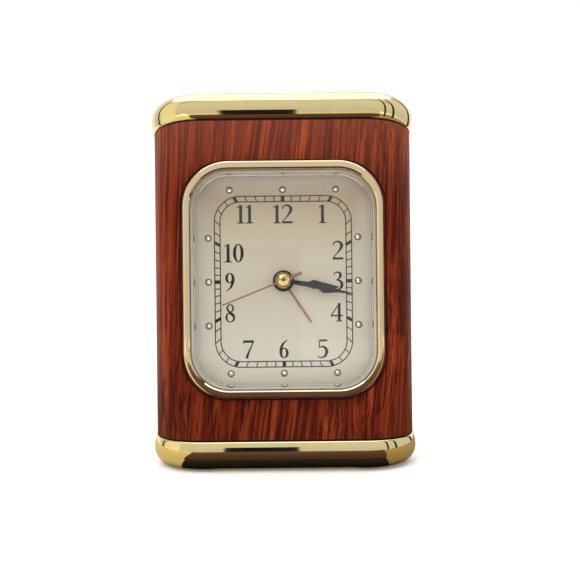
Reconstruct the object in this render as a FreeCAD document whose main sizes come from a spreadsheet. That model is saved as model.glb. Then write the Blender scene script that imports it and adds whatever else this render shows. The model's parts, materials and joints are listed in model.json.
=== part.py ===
"""A small alarm clock: a wood sleeve between two metal caps, a framed dial, a geared movement and its cell.

The clock stands on the origin with its dial towards -Y, +X to the right and +Z up. All sizes are millimetres.
"""

import FreeCAD
import Part
import math
import os
import Sketcher
from FreeCAD import Rotation, Vector

# Driving sizes. Each is written once here and goes into the sheet under its own name.
SIZES = {
    # Case
    "case_width": 79.0,
    "case_depth": 32.0,
    "wood_height": 91.5,
    "wood_wall": 4.0,
    "cap_height": 8.8,
    "cap_bulge": 0.85,
    "cap_bulge_rise": 3.75,
    "cap_plate": 1.8,
    "cap_rim": 5.6,
    "spigot_gap": 0.15,
    "spigot_depth": 3.0,
    "felt_thickness": 0.75,
    "felt_stand": 0.2,
    "felt_recess": 0.6,
    "felt_inset": 4.6,
    "felt_gap": 0.1,
    "rod_across": 63.0,
    "rod_radius": 1.5,
    "rod_gap": 0.15,
    "rod_boss_wall": 1.6,
    "rod_end_gap": 0.5,
    "rod_head_radius": 2.5,
    "rod_head_height": 1.0,
    # Bezel, crystal, surround and dial
    "bezel_width": 56.6,
    "bezel_height": 67.2,
    "bezel_corner": 12.9,
    "bezel_proud": 2.0,
    "bezel_rebate": 0.8,
    "bezel_round": 0.9,
    "bezel_bevel": 0.35,
    "bezel_opening_inset": 1.85,
    "bezel_opening_drop": 2.4,
    "bezel_lip": 1.6,
    "bezel_step": 0.7,
    "bezel_skirt_drop": 1.25,
    "bezel_skirt_wall": 0.6,
    "bezel_gap": 0.15,
    "tab_width": 4.0,
    "tab_reach": 1.6,
    "tab_wall": 0.5,
    "tab_slot_gap": 0.3,
    "tab_high": 6.0,
    "tab_low": 18.0,
    "crystal_flange": 1.15,
    "crystal_gap": 0.1,
    "crystal_front_gap": 0.25,
    "crystal_shy": 0.1,
    "crystal_bevel": 1.4,
    "crystal_pane": 1.3,
    "crystal_wall": 1.3,
    "dial_depth": 6.0,
    "dial_thickness": 0.5,
    "dial_hole": 3.0,
    "surround_wall": 0.8,
    "stud_radius": 1.0,
    "stud_height": 0.55,
    "stud_side_step": 22.04,
    "stud_quarter_up": 12.9,
    "stud_end_step": 15.64,
    "stud_end_up": 27.03,
    "seat_gap": 0.05,
    # Inner frame, back cover and screws
    "frame_width": 59.0,
    "frame_height": 66.4,
    "frame_plate": 2.0,
    "frame_bore": 4.5,
    "frame_flange_width": 47.0,
    "frame_flange_height": 80.0,
    "post_across": 40.0,
    "post_up": 74.4,
    "post_radius": 2.2,
    "cover_width": 56.6,
    "cover_height": 83.6,
    "cover_corner": 6.0,
    "cover_thickness": 1.8,
    "cover_recess": 0.9,
    "cover_gap": 0.2,
    "cover_ledge": 2.1,
    "screw_radius": 1.0,
    "screw_gap": 0.2,
    "screw_head_radius": 1.9,
    "screw_head_height": 0.9,
    "screw_length": 8.0,
    "screw_slot_width": 0.5,
    "screw_slot_depth": 0.4,
    # Cell, its bay and the door
    "cell_radius": 7.25,
    "cell_body": 49.2,
    "cell_nub": 1.3,
    "cell_nub_radius": 2.7,
    "cell_axis": 5.55,
    "cell_down": 22.8,
    "bay_wall": 1.2,
    "bay_half_width": 28.2,
    "bay_top": 14.0,
    "bay_bottom": 31.5,
    "bay_end": 9.8,
    "contact_wall": 0.4,
    "contact_back": 0.15,
    "contact_half_width": 3.5,
    "contact_nose_radius": 1.6,
    "contact_clearance": 0.1,
    "door_half_width": 24.7,
    "door_top": 13.1,
    "door_bottom": 31.6,
    "door_gap": 0.3,
    "door_swing_gap": 0.5,
    "door_hinge_down": 33.1,
    "door_knuckle_half": 20.0,
    "door_pin_radius": 0.6,
    "door_pin_reach": 1.4,
    "door_rib": 0.6,
    "door_rib_half": 7.0,
    "door_rib_down": 15.6,
    "lug_inner": 20.5,
    "lug_outer": 22.5,
    "lug_reach": 1.2,
    # Movement
    "gearbox_half_width": 22.0,
    "gearbox_top": 27.0,
    "gearbox_bottom": 13.4,
    "gearbox_wall": 1.2,
    "gearbox_depth": 15.0,
    "ear_across": 49.2,
    "ear_high": 22.0,
    "ear_low": 9.0,
    "ear_half": 2.6,
    "ear_thickness": 1.6,
    "fixing_radius": 0.8,
    "fixing_head_radius": 1.6,
    "fixing_head_height": 0.8,
    "fixing_length": 3.2,
    "mid_plate": 1.0,
    "mid_plate_gap": 0.2,
    "arbor_radius": 0.4,
    "second_arbor_radius": 0.5,
    "pivot_depth": 0.7,
    "pivot_end_gap": 0.1,
    "run_gap": 0.06,
    "press_gap": 0.02,
    "layer_gap": 0.3,
    "wheel_thickness": 0.7,
    "pinion_over": 0.1,
    "collet_wall": 0.6,
    "module_rotor": 0.25,
    "module_second": 0.307,
    "module_third": 0.25,
    "module_motion": 0.3,
    "magnet_radius": 2.4,
    "magnet_length": 1.6,
    # Pipes and hands
    "minute_pipe_radius": 1.1,
    "hour_pipe_radius": 1.74,
    "alarm_pipe_radius": 2.38,
    "pipe_flange": 0.6,
    "pipe_flange_wall": 0.25,
    "hand_thickness": 0.2,
    "hand_hub_over": 0.2,
    "alarm_hand_rise": 0.8,
    "hand_step": 1.1,
    "second_hand_step": 1.0,
    "hour_hand_length": 16.1,
    "hour_hand_half": 1.31,
    "hour_hub_radius": 3.1,
    "minute_hand_length": 20.5,
    "minute_hand_half": 1.39,
    "minute_hub_radius": 2.3,
    "second_hand_length": 18.9,
    "second_hand_half": 0.24,
    "second_tail_length": 5.75,
    "second_tail_half": 0.5,
    "second_hub_radius": 1.5,
    "alarm_hand_length": 14.75,
    "alarm_hand_half": 0.3,
    "alarm_hub_radius": 3.0,
    "button_radius": 2.3,
    "button_height": 1.75,
    "button_wall": 0.4,
    # Setting shafts, switch and alarm
    "shaft_radius": 1.2,
    "knob_radius": 4.8,
    "knob_hole_gap": 0.35,
    "knob_proud": 2.9,
    "knob_depth": 7.0,
    "knob_socket": 3.0,
    "knob_edge": 0.45,
    "knob_notch_depth": 0.45,
    "knob_notch_half_width": 0.5,
    "switch_across": 12.0,
    "switch_up": 18.0,
    "switch_half_width": 4.5,
    "switch_half_height": 2.5,
    "switch_plate": 0.9,
    "switch_stem_half_width": 1.5,
    "switch_stem_half_height": 1.2,
    "switch_proud": 0.7,
    "switch_travel": 3.0,
    "switch_gap": 0.25,
    "rail_wall": 0.8,
    "rail_lip": 0.7,
    "buzzer_across": 12.0,
    "buzzer_up": 16.0,
    "buzzer_radius": 8.5,
    "buzzer_height": 3.0,
    "sound_slot_half_width": 0.5,
    "sound_slot_step": 2.0,
    "buzzer_mouth_radius": 6.0,
    # Electrics
    "stator_thickness": 0.8,
    "stator_gap": 0.5,
    "stator_bar_half": 0.7,
    "coil_left": 4.2,
    "coil_right": 16.2,
    "coil_up": 19.9,
    "coil_radius": 2.0,
    "coil_cheek_radius": 2.3,
    "coil_cheek": 0.6,
    "bobbin_radius": 1.15,
    "bobbin_wall": 0.3,
    "board_thickness": 0.8,
    "board_left": 20.4,
    "board_right": 0.4,
    "board_low": 8.0,
    "board_high": 25.4,
    "board_back_gap": 0.5,
    "chip_half": 2.5,
    "chip_height": 1.0,
    "chip_left": 7.0,
    "chip_up": 19.0,
    "can_radius": 1.0,
    "can_length": 6.0,
    "can_left": 17.5,
    "can_up": 12.0,
    "leaf_thickness": 0.25,
    "leaf_width": 2.0,
    "overrun": 3.0,
}

# Places that follow from the driving sizes
PLACES = {
    "front": "0 - case_depth / 2",
    "back": "case_depth / 2",
    "wood_low": "felt_stand + cap_height",
    "wood_high": "wood_low + wood_height",
    "dial_z": "wood_low + wood_height / 2",
    "cap_flat": "case_width - case_depth",
    "inner_depth": "case_depth - 2 * wood_wall",
    "inner_width": "case_width - 2 * wood_wall",
    "bezel_front": "front - bezel_proud",
    "bezel_back": "front + bezel_rebate",
    "lip_back": "bezel_front + bezel_lip",
    "opening_width": "bezel_width - 2 * bezel_opening_inset",
    "opening_height": "bezel_height - 2 * bezel_opening_drop",
    "skirt_width": "bezel_width - 2 * bezel_step",
    "skirt_height": "bezel_height - 2 * bezel_skirt_drop",
    "skirt_corner": "bezel_corner - bezel_step",
    "nest_width": "skirt_width - 2 * bezel_skirt_wall",
    "nest_height": "skirt_height - 2 * bezel_skirt_wall",
    "nest_corner": "skirt_corner - bezel_skirt_wall",
    "opening_corner": "bezel_corner - bezel_opening_inset",
    "dial_front": "front + dial_depth",
    "dial_back": "dial_front + dial_thickness",
    "frame_front": "dial_back + seat_gap",
    "frame_back": "frame_front + frame_plate",
    "inner_front": "front + wood_wall + crystal_gap",
    "cover_back": "back - cover_recess",
    "cover_front": "cover_back - cover_thickness",
    "rear_width": "cover_width - 2 * cover_ledge",
    "rear_height": "cover_height - 2 * cover_ledge",
    "gearbox_front": "frame_back + seat_gap",
    "plate_back": "gearbox_front + gearbox_wall",
    "gearbox_back": "gearbox_front + gearbox_depth",
    "rear_wall": "gearbox_back - gearbox_wall",
    "alarm_layer": "plate_back + layer_gap",
    "hour_layer": "alarm_layer + wheel_thickness + layer_gap",
    "motion_layer": "hour_layer + wheel_thickness + layer_gap",
    "mid_front": "motion_layer + wheel_thickness + layer_gap",
    "mid_back": "mid_front + mid_plate",
    "minute_layer": "mid_back + layer_gap",
    "third_layer": "minute_layer + wheel_thickness + 2 * layer_gap",
    "second_layer": "third_layer + wheel_thickness + layer_gap",
    "middle_layer": "second_layer + wheel_thickness + layer_gap",
    "magnet_layer": "middle_layer + wheel_thickness + 2 * layer_gap",
    "stator_layer": "magnet_layer + magnet_length / 2 - stator_thickness / 2",
    "board_back": "rear_wall - board_back_gap",
    "board_front": "board_back - board_thickness",
    "alarm_hand_y": "dial_front - alarm_hand_rise",
    "hour_hand_y": "alarm_hand_y - hand_step",
    "minute_hand_y": "hour_hand_y - second_hand_step",
    "second_hand_y": "minute_hand_y - second_hand_step",
    "hinge_y": "cover_back - cover_thickness / 2",
    "knuckle_radius": "cover_thickness / 2",
    "cell_z": "dial_z - cell_down",
    "knob_front": "cover_back + knob_proud - knob_depth",
}

# Tooth counts. The seconds train runs 30:1 from rotor to seconds hand and 60:1 from there to the drive wheel;
# the motion work runs 12:1 from the minute pipe to the hour wheel.
TEETH = {
    "rotor_pinion": 8,
    "middle_wheel": 40,
    "middle_pinion": 8,
    "second_wheel": 48,
    "second_pinion": 8,
    "third_wheel": 60,
    "third_pinion": 8,
    "drive_wheel": 64,
    "cannon_pinion": 12,
    "motion_wheel": 36,
    "motion_pinion": 10,
    "hour_wheel": 40,
    "time_gear": 18,
    "alarm_wheel": 40,
    "alarm_gear": 24,
}

# Directions in degrees: arbors counter-clockwise from +X as seen from the front, hands clockwise from twelve
ARBOR_TURNS = {"third": 150.0, "middle": 60.0, "rotor": 10.0, "motion": -30.0, "time": -5.0, "alarm": 225.0}
HAND_TURNS = {"hour": 97.1, "minute": 101.25, "second": 248.3, "alarm": 146.3}

KNOB_NOTCHES = 12

# Tooth form: heights as shares of the module, widths as shares of the tooth pitch
ADDENDUM_SHARE = 0.80
DEDENDUM_SHARE = 1.10
ROOT_WIDTH_SHARE = 0.54
TIP_WIDTH_SHARE = 0.20

# Hand outlines: distance from the centre as a share of the length, half-width as a share of the widest half-width
HAND_SHARES = {
    "hour": [(0.15, 0.45), (0.45, 0.45), (0.545, 1.0), (1.0, 0.16)],
    "minute": [(0.09, 0.32), (0.51, 0.38), (0.585, 1.0), (0.79, 0.31), (1.0, 0.12)],
    "alarm": [(0.17, 1.0), (0.94, 1.0), (1.0, 0.3)],
}

# Reach of each sound slot as a share of the buzzer's mouth
SOUND_SLOT_SHARES = (0.55, 0.80, 0.88, 0.80, 0.55)

doc = FreeCAD.newDocument("alarm_clock")
sheet = doc.addObject("Spreadsheet::Sheet", "Sizes")
for row, (size_name, number) in enumerate(SIZES.items(), start=1):
    sheet.set(f"A{row}", size_name)
    sheet.set(f"B{row}", str(number))
    sheet.setAlias(f"B{row}", size_name)
for row, (place_name, formula) in enumerate(PLACES.items(), start=1):
    sheet.set(f"D{row}", place_name)
    sheet.set(f"E{row}", f"={formula}")
    sheet.setAlias(f"E{row}", place_name)
doc.recompute()


class Size:
    """A number together with the sheet formula that gives it."""

    def __init__(self, value, text):
        self.value = value
        self.text = text

    def __add__(self, other):
        other = as_size(other)
        return Size(self.value + other.value, f"({self.text} + {other.text})")

    def __sub__(self, other):
        other = as_size(other)
        return Size(self.value - other.value, f"({self.text} - {other.text})")

    def __rsub__(self, other):
        return as_size(other) - self

    def __mul__(self, factor):
        factor = as_size(factor)
        return Size(self.value * factor.value, f"({self.text} * {factor.text})")

    def __truediv__(self, factor):
        factor = as_size(factor)
        return Size(self.value / factor.value, f"({self.text} / {factor.text})")

    def __neg__(self):
        return Size(-self.value, f"(0 - {self.text})")

    __radd__ = __add__
    __rmul__ = __mul__


def as_size(number):
    """Turns a plain number into a Size."""
    return number if isinstance(number, Size) else Size(float(number), f"({float(number):.9f})")


class SheetReader:
    """Reads a cell of the sheet as a Size."""

    def __getattr__(self, alias):
        return Size(float(sheet.get(alias)), f"Sizes.{alias}")


S = SheetReader()
ZERO = as_size(0)


def bind(thing, prop, size):
    """Ties one property of an object to the sheet."""
    thing.setExpression(prop, as_size(size).text)


def bind_base(thing, prop, x, y, z):
    """Ties a position to the sheet."""
    for axis, size in zip("xyz", (x, y, z)):
        bind(thing, f"{prop}.Base.{axis}", size)


def gear_distance(module, *names):
    """Centre distance of two gears in mesh."""
    return module * (sum(TEETH[name] for name in names) / 2)


def along(start, turn, distance):
    """A place in the dial's plane, at a distance and a direction from another one."""
    angle = math.radians(turn)
    return (start[0] + distance * math.cos(angle), start[1] + distance * math.sin(angle))


CENTRE = (ZERO, ZERO)
THIRD_DISTANCE = gear_distance(S.module_third, "second_pinion", "third_wheel")
MOTION_DISTANCE = gear_distance(S.module_motion, "cannon_pinion", "motion_wheel")
MIDDLE_DISTANCE = gear_distance(S.module_second, "middle_pinion", "second_wheel")
ROTOR_DISTANCE = gear_distance(S.module_rotor, "rotor_pinion", "middle_wheel")
TIME_DISTANCE = gear_distance(S.module_motion, "motion_wheel", "time_gear")
ALARM_DISTANCE = gear_distance(S.module_motion, "alarm_wheel", "alarm_gear")
THIRD_AT = along(CENTRE, ARBOR_TURNS["third"], THIRD_DISTANCE)
MOTION_AT = along(CENTRE, ARBOR_TURNS["motion"], MOTION_DISTANCE)
MIDDLE_AT = along(CENTRE, ARBOR_TURNS["middle"], MIDDLE_DISTANCE)
ROTOR_AT = along(MIDDLE_AT, ARBOR_TURNS["rotor"], ROTOR_DISTANCE)
TIME_AT = along(MOTION_AT, ARBOR_TURNS["time"], TIME_DISTANCE)
ALARM_AT = along(CENTRE, ARBOR_TURNS["alarm"], ALARM_DISTANCE)
MODULE_DRIVE = THIRD_DISTANCE / ((TEETH["third_pinion"] + TEETH["drive_wheel"]) / 2)
MODULE_HOUR = MOTION_DISTANCE / ((TEETH["motion_pinion"] + TEETH["hour_wheel"]) / 2)

pieces = []


def keep(piece, label):
    """Registers a finished piece under the name of its file."""
    piece.Label = label
    pieces.append(piece)
    return piece


# Sketch helpers. A sketch on XZ_Plane is seen from the front: its normal is -Y.
def new_body(name):
    return doc.addObject("PartDesign::Body", f"{name}_body")


def origin_of(body, role):
    """One of a body's own planes or axes."""
    return next(item for item in body.Origin.OriginFeatures if item.Role == role)


def new_sketch(body, name, role, x=ZERO, y=ZERO, z=ZERO):
    """A sketch on one of the body's planes, moved to x, y, z."""
    sketch = body.newObject("Sketcher::SketchObject", name)
    sketch.AttachmentSupport = [(origin_of(body, role), "")]
    sketch.MapMode = "FlatFace"
    x, y, z = as_size(x), as_size(y), as_size(z)
    local = {"XY_Plane": (x, y, z), "XZ_Plane": (x, z, -y), "YZ_Plane": (y, z, x)}[role]
    bind_base(sketch, "AttachmentOffset", *local)
    return sketch


def tie(sketch, kind, edge, end, size):
    """Dimensions one point of a sketch from the sketch's origin, along one axis."""
    size = as_size(size)
    if abs(size.value) < 1e-9:
        axis = -2 if kind == "DistanceX" else -1
        sketch.addConstraint(Sketcher.Constraint("PointOnObject", edge, end, axis))
        return
    ends = (-1, 1, edge, end) if size.value > 0 else (edge, end, -1, 1)
    size = size if size.value > 0 else -size
    index = sketch.addConstraint(Sketcher.Constraint(kind, *ends, size.value))
    sketch.setExpression(f"Constraints[{index}]", size.text)


def radius_of(sketch, edge, size):
    size = as_size(size)
    index = sketch.addConstraint(Sketcher.Constraint("Radius", edge, size.value))
    sketch.setExpression(f"Constraints[{index}]", size.text)


def polygon(sketch, points):
    """A closed outline of straight edges with every corner dimensioned."""
    flat = [Vector(as_size(x).value, as_size(y).value, 0) for x, y in points]
    first = sketch.GeometryCount
    count = len(points)
    for index in range(count):
        sketch.addGeometry(Part.LineSegment(flat[index], flat[(index + 1) % count]), False)
    for index in range(count):
        ends = (first + index, 2, first + (index + 1) % count, 1)
        sketch.addConstraint(Sketcher.Constraint("Coincident", *ends))
    for index, (x, y) in enumerate(points):
        tie(sketch, "DistanceX", first + index, 1, x)
        tie(sketch, "DistanceY", first + index, 1, y)
    return sketch


def rectangle(sketch, left, right, low, high):
    return polygon(sketch, [(left, low), (right, low), (right, high), (left, high)])


def circle(sketch, x, y, radius):
    x, y, radius = as_size(x), as_size(y), as_size(radius)
    ring = Part.Circle(Vector(x.value, y.value, 0), Vector(0, 0, 1), radius.value)
    edge = sketch.addGeometry(ring, False)
    radius_of(sketch, edge, radius)
    tie(sketch, "DistanceX", edge, 3, x)
    tie(sketch, "DistanceY", edge, 3, y)
    return sketch


def rounded(sketch, width, height, corner):
    """A rectangle with round corners about the sketch's origin."""
    across, up, corner = as_size(width) / 2, as_size(height) / 2, as_size(corner)
    wide, tall, radius = across.value, up.value, corner.value
    first = sketch.GeometryCount
    for turn in range(4):
        run, rise = (wide, tall) if turn % 2 == 0 else (tall, wide)
        spin = Rotation(Vector(0, 0, 1), 90 * turn)
        start = spin.multVec(Vector(radius - run, -rise, 0))
        end = spin.multVec(Vector(run - radius, -rise, 0))
        centre = spin.multVec(Vector(run - radius, radius - rise, 0))
        ring = Part.Circle(centre, Vector(0, 0, 1), radius)
        sketch.addGeometry(Part.LineSegment(start, end), False)
        angles = (math.radians(90 * turn - 90), math.radians(90 * turn))
        sketch.addGeometry(Part.ArcOfCircle(ring, *angles), False)
    for index in range(8):
        ends = (first + index, 2, first + (index + 1) % 8, 1)
        sketch.addConstraint(Sketcher.Constraint("Tangent", *ends))
    for turn, kind in enumerate(("Horizontal", "Vertical", "Horizontal", "Vertical")):
        sketch.addConstraint(Sketcher.Constraint(kind, first + 2 * turn))
    for index in (3, 5, 7):
        sketch.addConstraint(Sketcher.Constraint("Equal", first + 1, first + index))
    radius_of(sketch, first + 1, corner)
    tie(sketch, "DistanceY", first, 1, -up)
    tie(sketch, "DistanceX", first + 2, 1, across)
    tie(sketch, "DistanceY", first + 4, 1, up)
    tie(sketch, "DistanceX", first + 6, 1, -across)
    return sketch


def stadium(sketch, width, depth):
    """A straight-sided oval about the sketch's origin."""
    radius = as_size(depth) / 2
    flat = as_size(width) / 2 - radius
    run, bend = flat.value, radius.value
    first = sketch.GeometryCount
    up = Vector(0, 0, 1)
    ends = (Part.Circle(Vector(run, 0, 0), up, bend), Part.Circle(Vector(-run, 0, 0), up, bend))
    quarter = math.pi / 2
    sketch.addGeometry(Part.LineSegment(Vector(-run, -bend, 0), Vector(run, -bend, 0)), False)
    sketch.addGeometry(Part.ArcOfCircle(ends[0], -quarter, quarter), False)
    sketch.addGeometry(Part.LineSegment(Vector(run, bend, 0), Vector(-run, bend, 0)), False)
    sketch.addGeometry(Part.ArcOfCircle(ends[1], quarter, 3 * quarter), False)
    for index in range(4):
        joint = (first + index, 2, first + (index + 1) % 4, 1)
        sketch.addConstraint(Sketcher.Constraint("Tangent", *joint))
    sketch.addConstraint(Sketcher.Constraint("Equal", first + 1, first + 3))
    radius_of(sketch, first + 1, radius)
    for edge, place in ((first + 1, flat), (first + 3, -flat)):
        tie(sketch, "DistanceX", edge, 3, place)
        tie(sketch, "DistanceY", edge, 3, ZERO)
    return sketch


def feature(body, kind, name, sketch, length, reverse=False):
    """A Pad or a Pocket of a sketch."""
    made = body.newObject(f"PartDesign::{kind}", name)
    made.Profile = sketch
    bind(made, "Length", length)
    made.Reversed = reverse
    sketch.Visibility = False
    return made


def pad(body, name, sketch, length, reverse=False):
    return feature(body, "Pad", name, sketch, length, reverse)


def pocket(body, name, sketch, length, reverse=False):
    return feature(body, "Pocket", name, sketch, length, reverse)


def front_pad(body, name, draw, y0, y1, x=ZERO, z=ZERO):
    """Draws an outline seen from the front and pads it from y0 back to y1."""
    sketch = new_sketch(body, f"{name}_outline", "XZ_Plane", x, y0, z)
    draw(sketch)
    return pad(body, name, sketch, y1 - y0, reverse=True)


def front_cut(body, name, draw, y0, y1, x=ZERO, z=ZERO):
    """Draws an outline seen from the front and cuts it from y0 back to y1."""
    sketch = new_sketch(body, f"{name}_outline", "XZ_Plane", x, y0, z)
    draw(sketch)
    return pocket(body, name, sketch, y1 - y0)


def turned(body, name, profile, kind="Revolution"):
    """Turns a profile about the body's Y axis. The profile lists (radius, y)."""
    sketch = new_sketch(body, f"{name}_profile", "XY_Plane")
    polygon(sketch, profile)
    made = body.newObject(f"PartDesign::{kind}", name)
    made.Profile = sketch
    made.ReferenceAxis = (sketch, ["V_Axis"])
    made.Angle = 360
    sketch.Visibility = False
    return made


def tube(body, name, inner, outer, y0, y1):
    """A plain ring or rod about the body's Y axis."""
    return turned(body, name, [(inner, y0), (outer, y0), (outer, y1), (inner, y1)])


def place(body, at=CENTRE, turn=0.0):
    """Moves a body to an arbor, and turns it clockwise as seen from the front."""
    body.Placement.Rotation = Rotation(Vector(0, 1, 0), turn)
    bind_base(body, "Placement", at[0], ZERO, S.dial_z + at[1])
    return body


def edges_on(feature_made, test):
    """Names of the edges of a feature that pass a test."""
    doc.recompute()
    return [f"Edge{i}" for i, edge in enumerate(feature_made.Shape.Edges, start=1) if test(edge.BoundBox)]


def dressed(body, kind, name, base, prop, size, test):
    """A Fillet or a Chamfer on the edges that pass a test."""
    edges = edges_on(base, test)
    made = body.newObject(f"PartDesign::{kind}", name)
    made.Base = (base, edges)
    bind(made, prop, size)
    return made


def box(name, x0, x1, y0, y1, z0, z1):
    made = doc.addObject("Part::Box", name)
    for prop, low, high in (("Length", x0, x1), ("Width", y0, y1), ("Height", z0, z1)):
        bind(made, prop, as_size(high) - low)
    bind_base(made, "Placement", x0, y0, z0)
    return made


def cylinder(name, radius, length, x, y, z, axis=Vector(0, 1, 0)):
    """A cylinder that starts at x, y, z and runs along one of the row's axes."""
    made = doc.addObject("Part::Cylinder", name)
    bind(made, "Radius", radius)
    bind(made, "Height", length)
    made.Placement.Rotation = Rotation(Vector(0, 0, 1), axis)
    bind_base(made, "Placement", x, y, z)
    return made


def joined(name, parts):
    made = doc.addObject("Part::MultiFuse", name)
    made.Shapes = parts
    made.Refine = True
    return made


def cut_from(name, base, tools):
    made = doc.addObject("Part::Cut", name)
    made.Base = base
    made.Tool = tools[0] if len(tools) == 1 else joined(f"{name}_tools", tools)
    return made


def grouped(name, parts):
    made = doc.addObject("Part::Compound", name)
    made.Links = parts
    return made


def corners(across, up):
    """The four mirrored places of one pair of distances."""
    return [(side * across, level * up) for side in (-1, 1) for level in (-1, 1)]


def toothed(body, name, teeth, module, y0, y1, phase, bore=None):
    """Adds a gear to a body: a root disc and a pattern of teeth, the first one in the direction of phase."""
    count = TEETH[teeth]
    pitch_radius = module * (count / 2)
    root = pitch_radius - module * DEDENDUM_SHARE
    tip = pitch_radius + module * ADDENDUM_SHARE
    root_half = module * (math.pi * ROOT_WIDTH_SHARE / 2)
    tip_half = module * (math.pi * TIP_WIDTH_SHARE / 2)
    foot = root - module * ADDENDUM_SHARE
    disc_sketch = new_sketch(body, f"{name}_disc_outline", "XZ_Plane", ZERO, y0, ZERO)
    circle(disc_sketch, ZERO, ZERO, root)
    if bore is not None:
        circle(disc_sketch, ZERO, ZERO, bore)
    pad(body, f"{name}_disc", disc_sketch, y1 - y0, reverse=True)
    tooth_sketch = new_sketch(body, f"{name}_tooth_outline", "XZ_Plane", ZERO, y0, ZERO)
    tooth_sketch.AttachmentOffset.Rotation = Rotation(Vector(0, 0, 1), phase)
    polygon(tooth_sketch, [(foot, -root_half), (tip, -tip_half), (tip, tip_half), (foot, root_half)])
    tooth = pad(body, f"{name}_tooth", tooth_sketch, y1 - y0, reverse=True)
    pattern = body.newObject("PartDesign::PolarPattern", f"{name}_teeth")
    pattern.Originals = [tooth]
    pattern.Axis = (disc_sketch, ["N_Axis"])
    pattern.Angle = 360
    pattern.Occurrences = count
    body.Tip = pattern
    return pattern


def meshed(teeth_a, phase_a, teeth_b, turn):
    """The phase of gear b in mesh with gear a, when b lies from a in the direction turn."""
    return turn + 180 + (180 - TEETH[teeth_a] * (phase_a - turn)) / TEETH[teeth_b]


# Case
def wood_sleeve():
    body = new_body("wood_sleeve")
    outer = new_sketch(body, "wood_outer", "XY_Plane", z=S.wood_low)
    stadium(outer, S.case_width, S.case_depth)
    pad(body, "wood_block", outer, S.wood_height)
    inner = new_sketch(body, "wood_inner", "XY_Plane", z=S.wood_low)
    stadium(inner, S.inner_width, S.inner_depth)
    pocket(body, "wood_hollow", inner, S.wood_height, reverse=True)
    gap = 2 * S.bezel_gap
    for name, width, height, corner, y0, y1 in (
        ("wood_window", S.skirt_width, S.skirt_height, S.skirt_corner, S.front, S.front + S.wood_wall + S.overrun),
        ("wood_rebate", S.bezel_width, S.bezel_height, S.bezel_corner, S.front, S.bezel_back + S.seat_gap),
    ):
        front_cut(
            body, name,
            lambda sketch: rounded(sketch, width + gap, height + gap, corner + S.bezel_gap),
            y0, y1, z=S.dial_z,
        )
    gap = 2 * S.cover_gap
    front_cut(
        body, "wood_back_window",
        lambda sketch: rounded(sketch, S.rear_width, S.rear_height, S.cover_corner - S.cover_ledge),
        S.back - S.wood_wall - S.overrun, S.back, z=S.dial_z,
    )
    front_cut(
        body, "wood_back_rebate",
        lambda sketch: rounded(
            sketch, S.cover_width + gap, S.cover_height + gap, S.cover_corner + S.cover_gap
        ),
        S.cover_front - S.seat_gap, S.back, z=S.dial_z,
    )
    keep(body, "wood_sleeve")


def cap_section(sketch):
    """Half of a cap's section: level seam, bulging side, rounded shoulder and flat end."""
    depth, bulge, rise, height = S.case_depth / 2, S.cap_bulge, S.cap_bulge_rise, S.cap_height
    sweep = (rise * (rise.value / bulge.value) + bulge) / 2
    shoulder = height - rise
    wide = depth + bulge
    up = Vector(0, 0, 1)
    low = Part.Circle(Vector((wide - sweep).value, rise.value, 0), up, sweep.value)
    high = Part.Circle(Vector((wide - shoulder).value, rise.value, 0), up, shoulder.value)
    lean = math.asin(rise.value / sweep.value)
    sketch.addGeometry(Part.LineSegment(Vector(0, 0, 0), Vector(depth.value, 0, 0)), False)
    sketch.addGeometry(Part.ArcOfCircle(low, -lean, 0), False)
    sketch.addGeometry(Part.ArcOfCircle(high, 0, math.pi / 2), False)
    flat_end = Vector((wide - shoulder).value, height.value, 0)
    sketch.addGeometry(Part.LineSegment(flat_end, Vector(0, height.value, 0)), False)
    sketch.addGeometry(Part.LineSegment(Vector(0, height.value, 0), Vector(0, 0, 0)), False)
    for index in range(5):
        sketch.addConstraint(Sketcher.Constraint("Coincident", index, 2, (index + 1) % 5, 1))
    tie(sketch, "DistanceX", 0, 1, ZERO)
    tie(sketch, "DistanceY", 0, 1, ZERO)
    tie(sketch, "DistanceX", 0, 2, depth)
    tie(sketch, "DistanceY", 0, 2, ZERO)
    tie(sketch, "DistanceX", 1, 2, wide)
    tie(sketch, "DistanceY", 1, 2, rise)
    tie(sketch, "DistanceY", 1, 3, rise)
    tie(sketch, "DistanceX", 2, 3, wide - shoulder)
    tie(sketch, "DistanceY", 2, 3, rise)
    tie(sketch, "DistanceX", 3, 1, wide - shoulder)
    tie(sketch, "DistanceX", 3, 2, ZERO)
    tie(sketch, "DistanceY", 3, 2, height)


def mirrored(body, name, originals, plane):
    made = body.newObject("PartDesign::Mirrored", name)
    made.Originals = originals
    made.MirrorPlane = (origin_of(body, plane), [""])
    body.Tip = made
    return made


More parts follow.
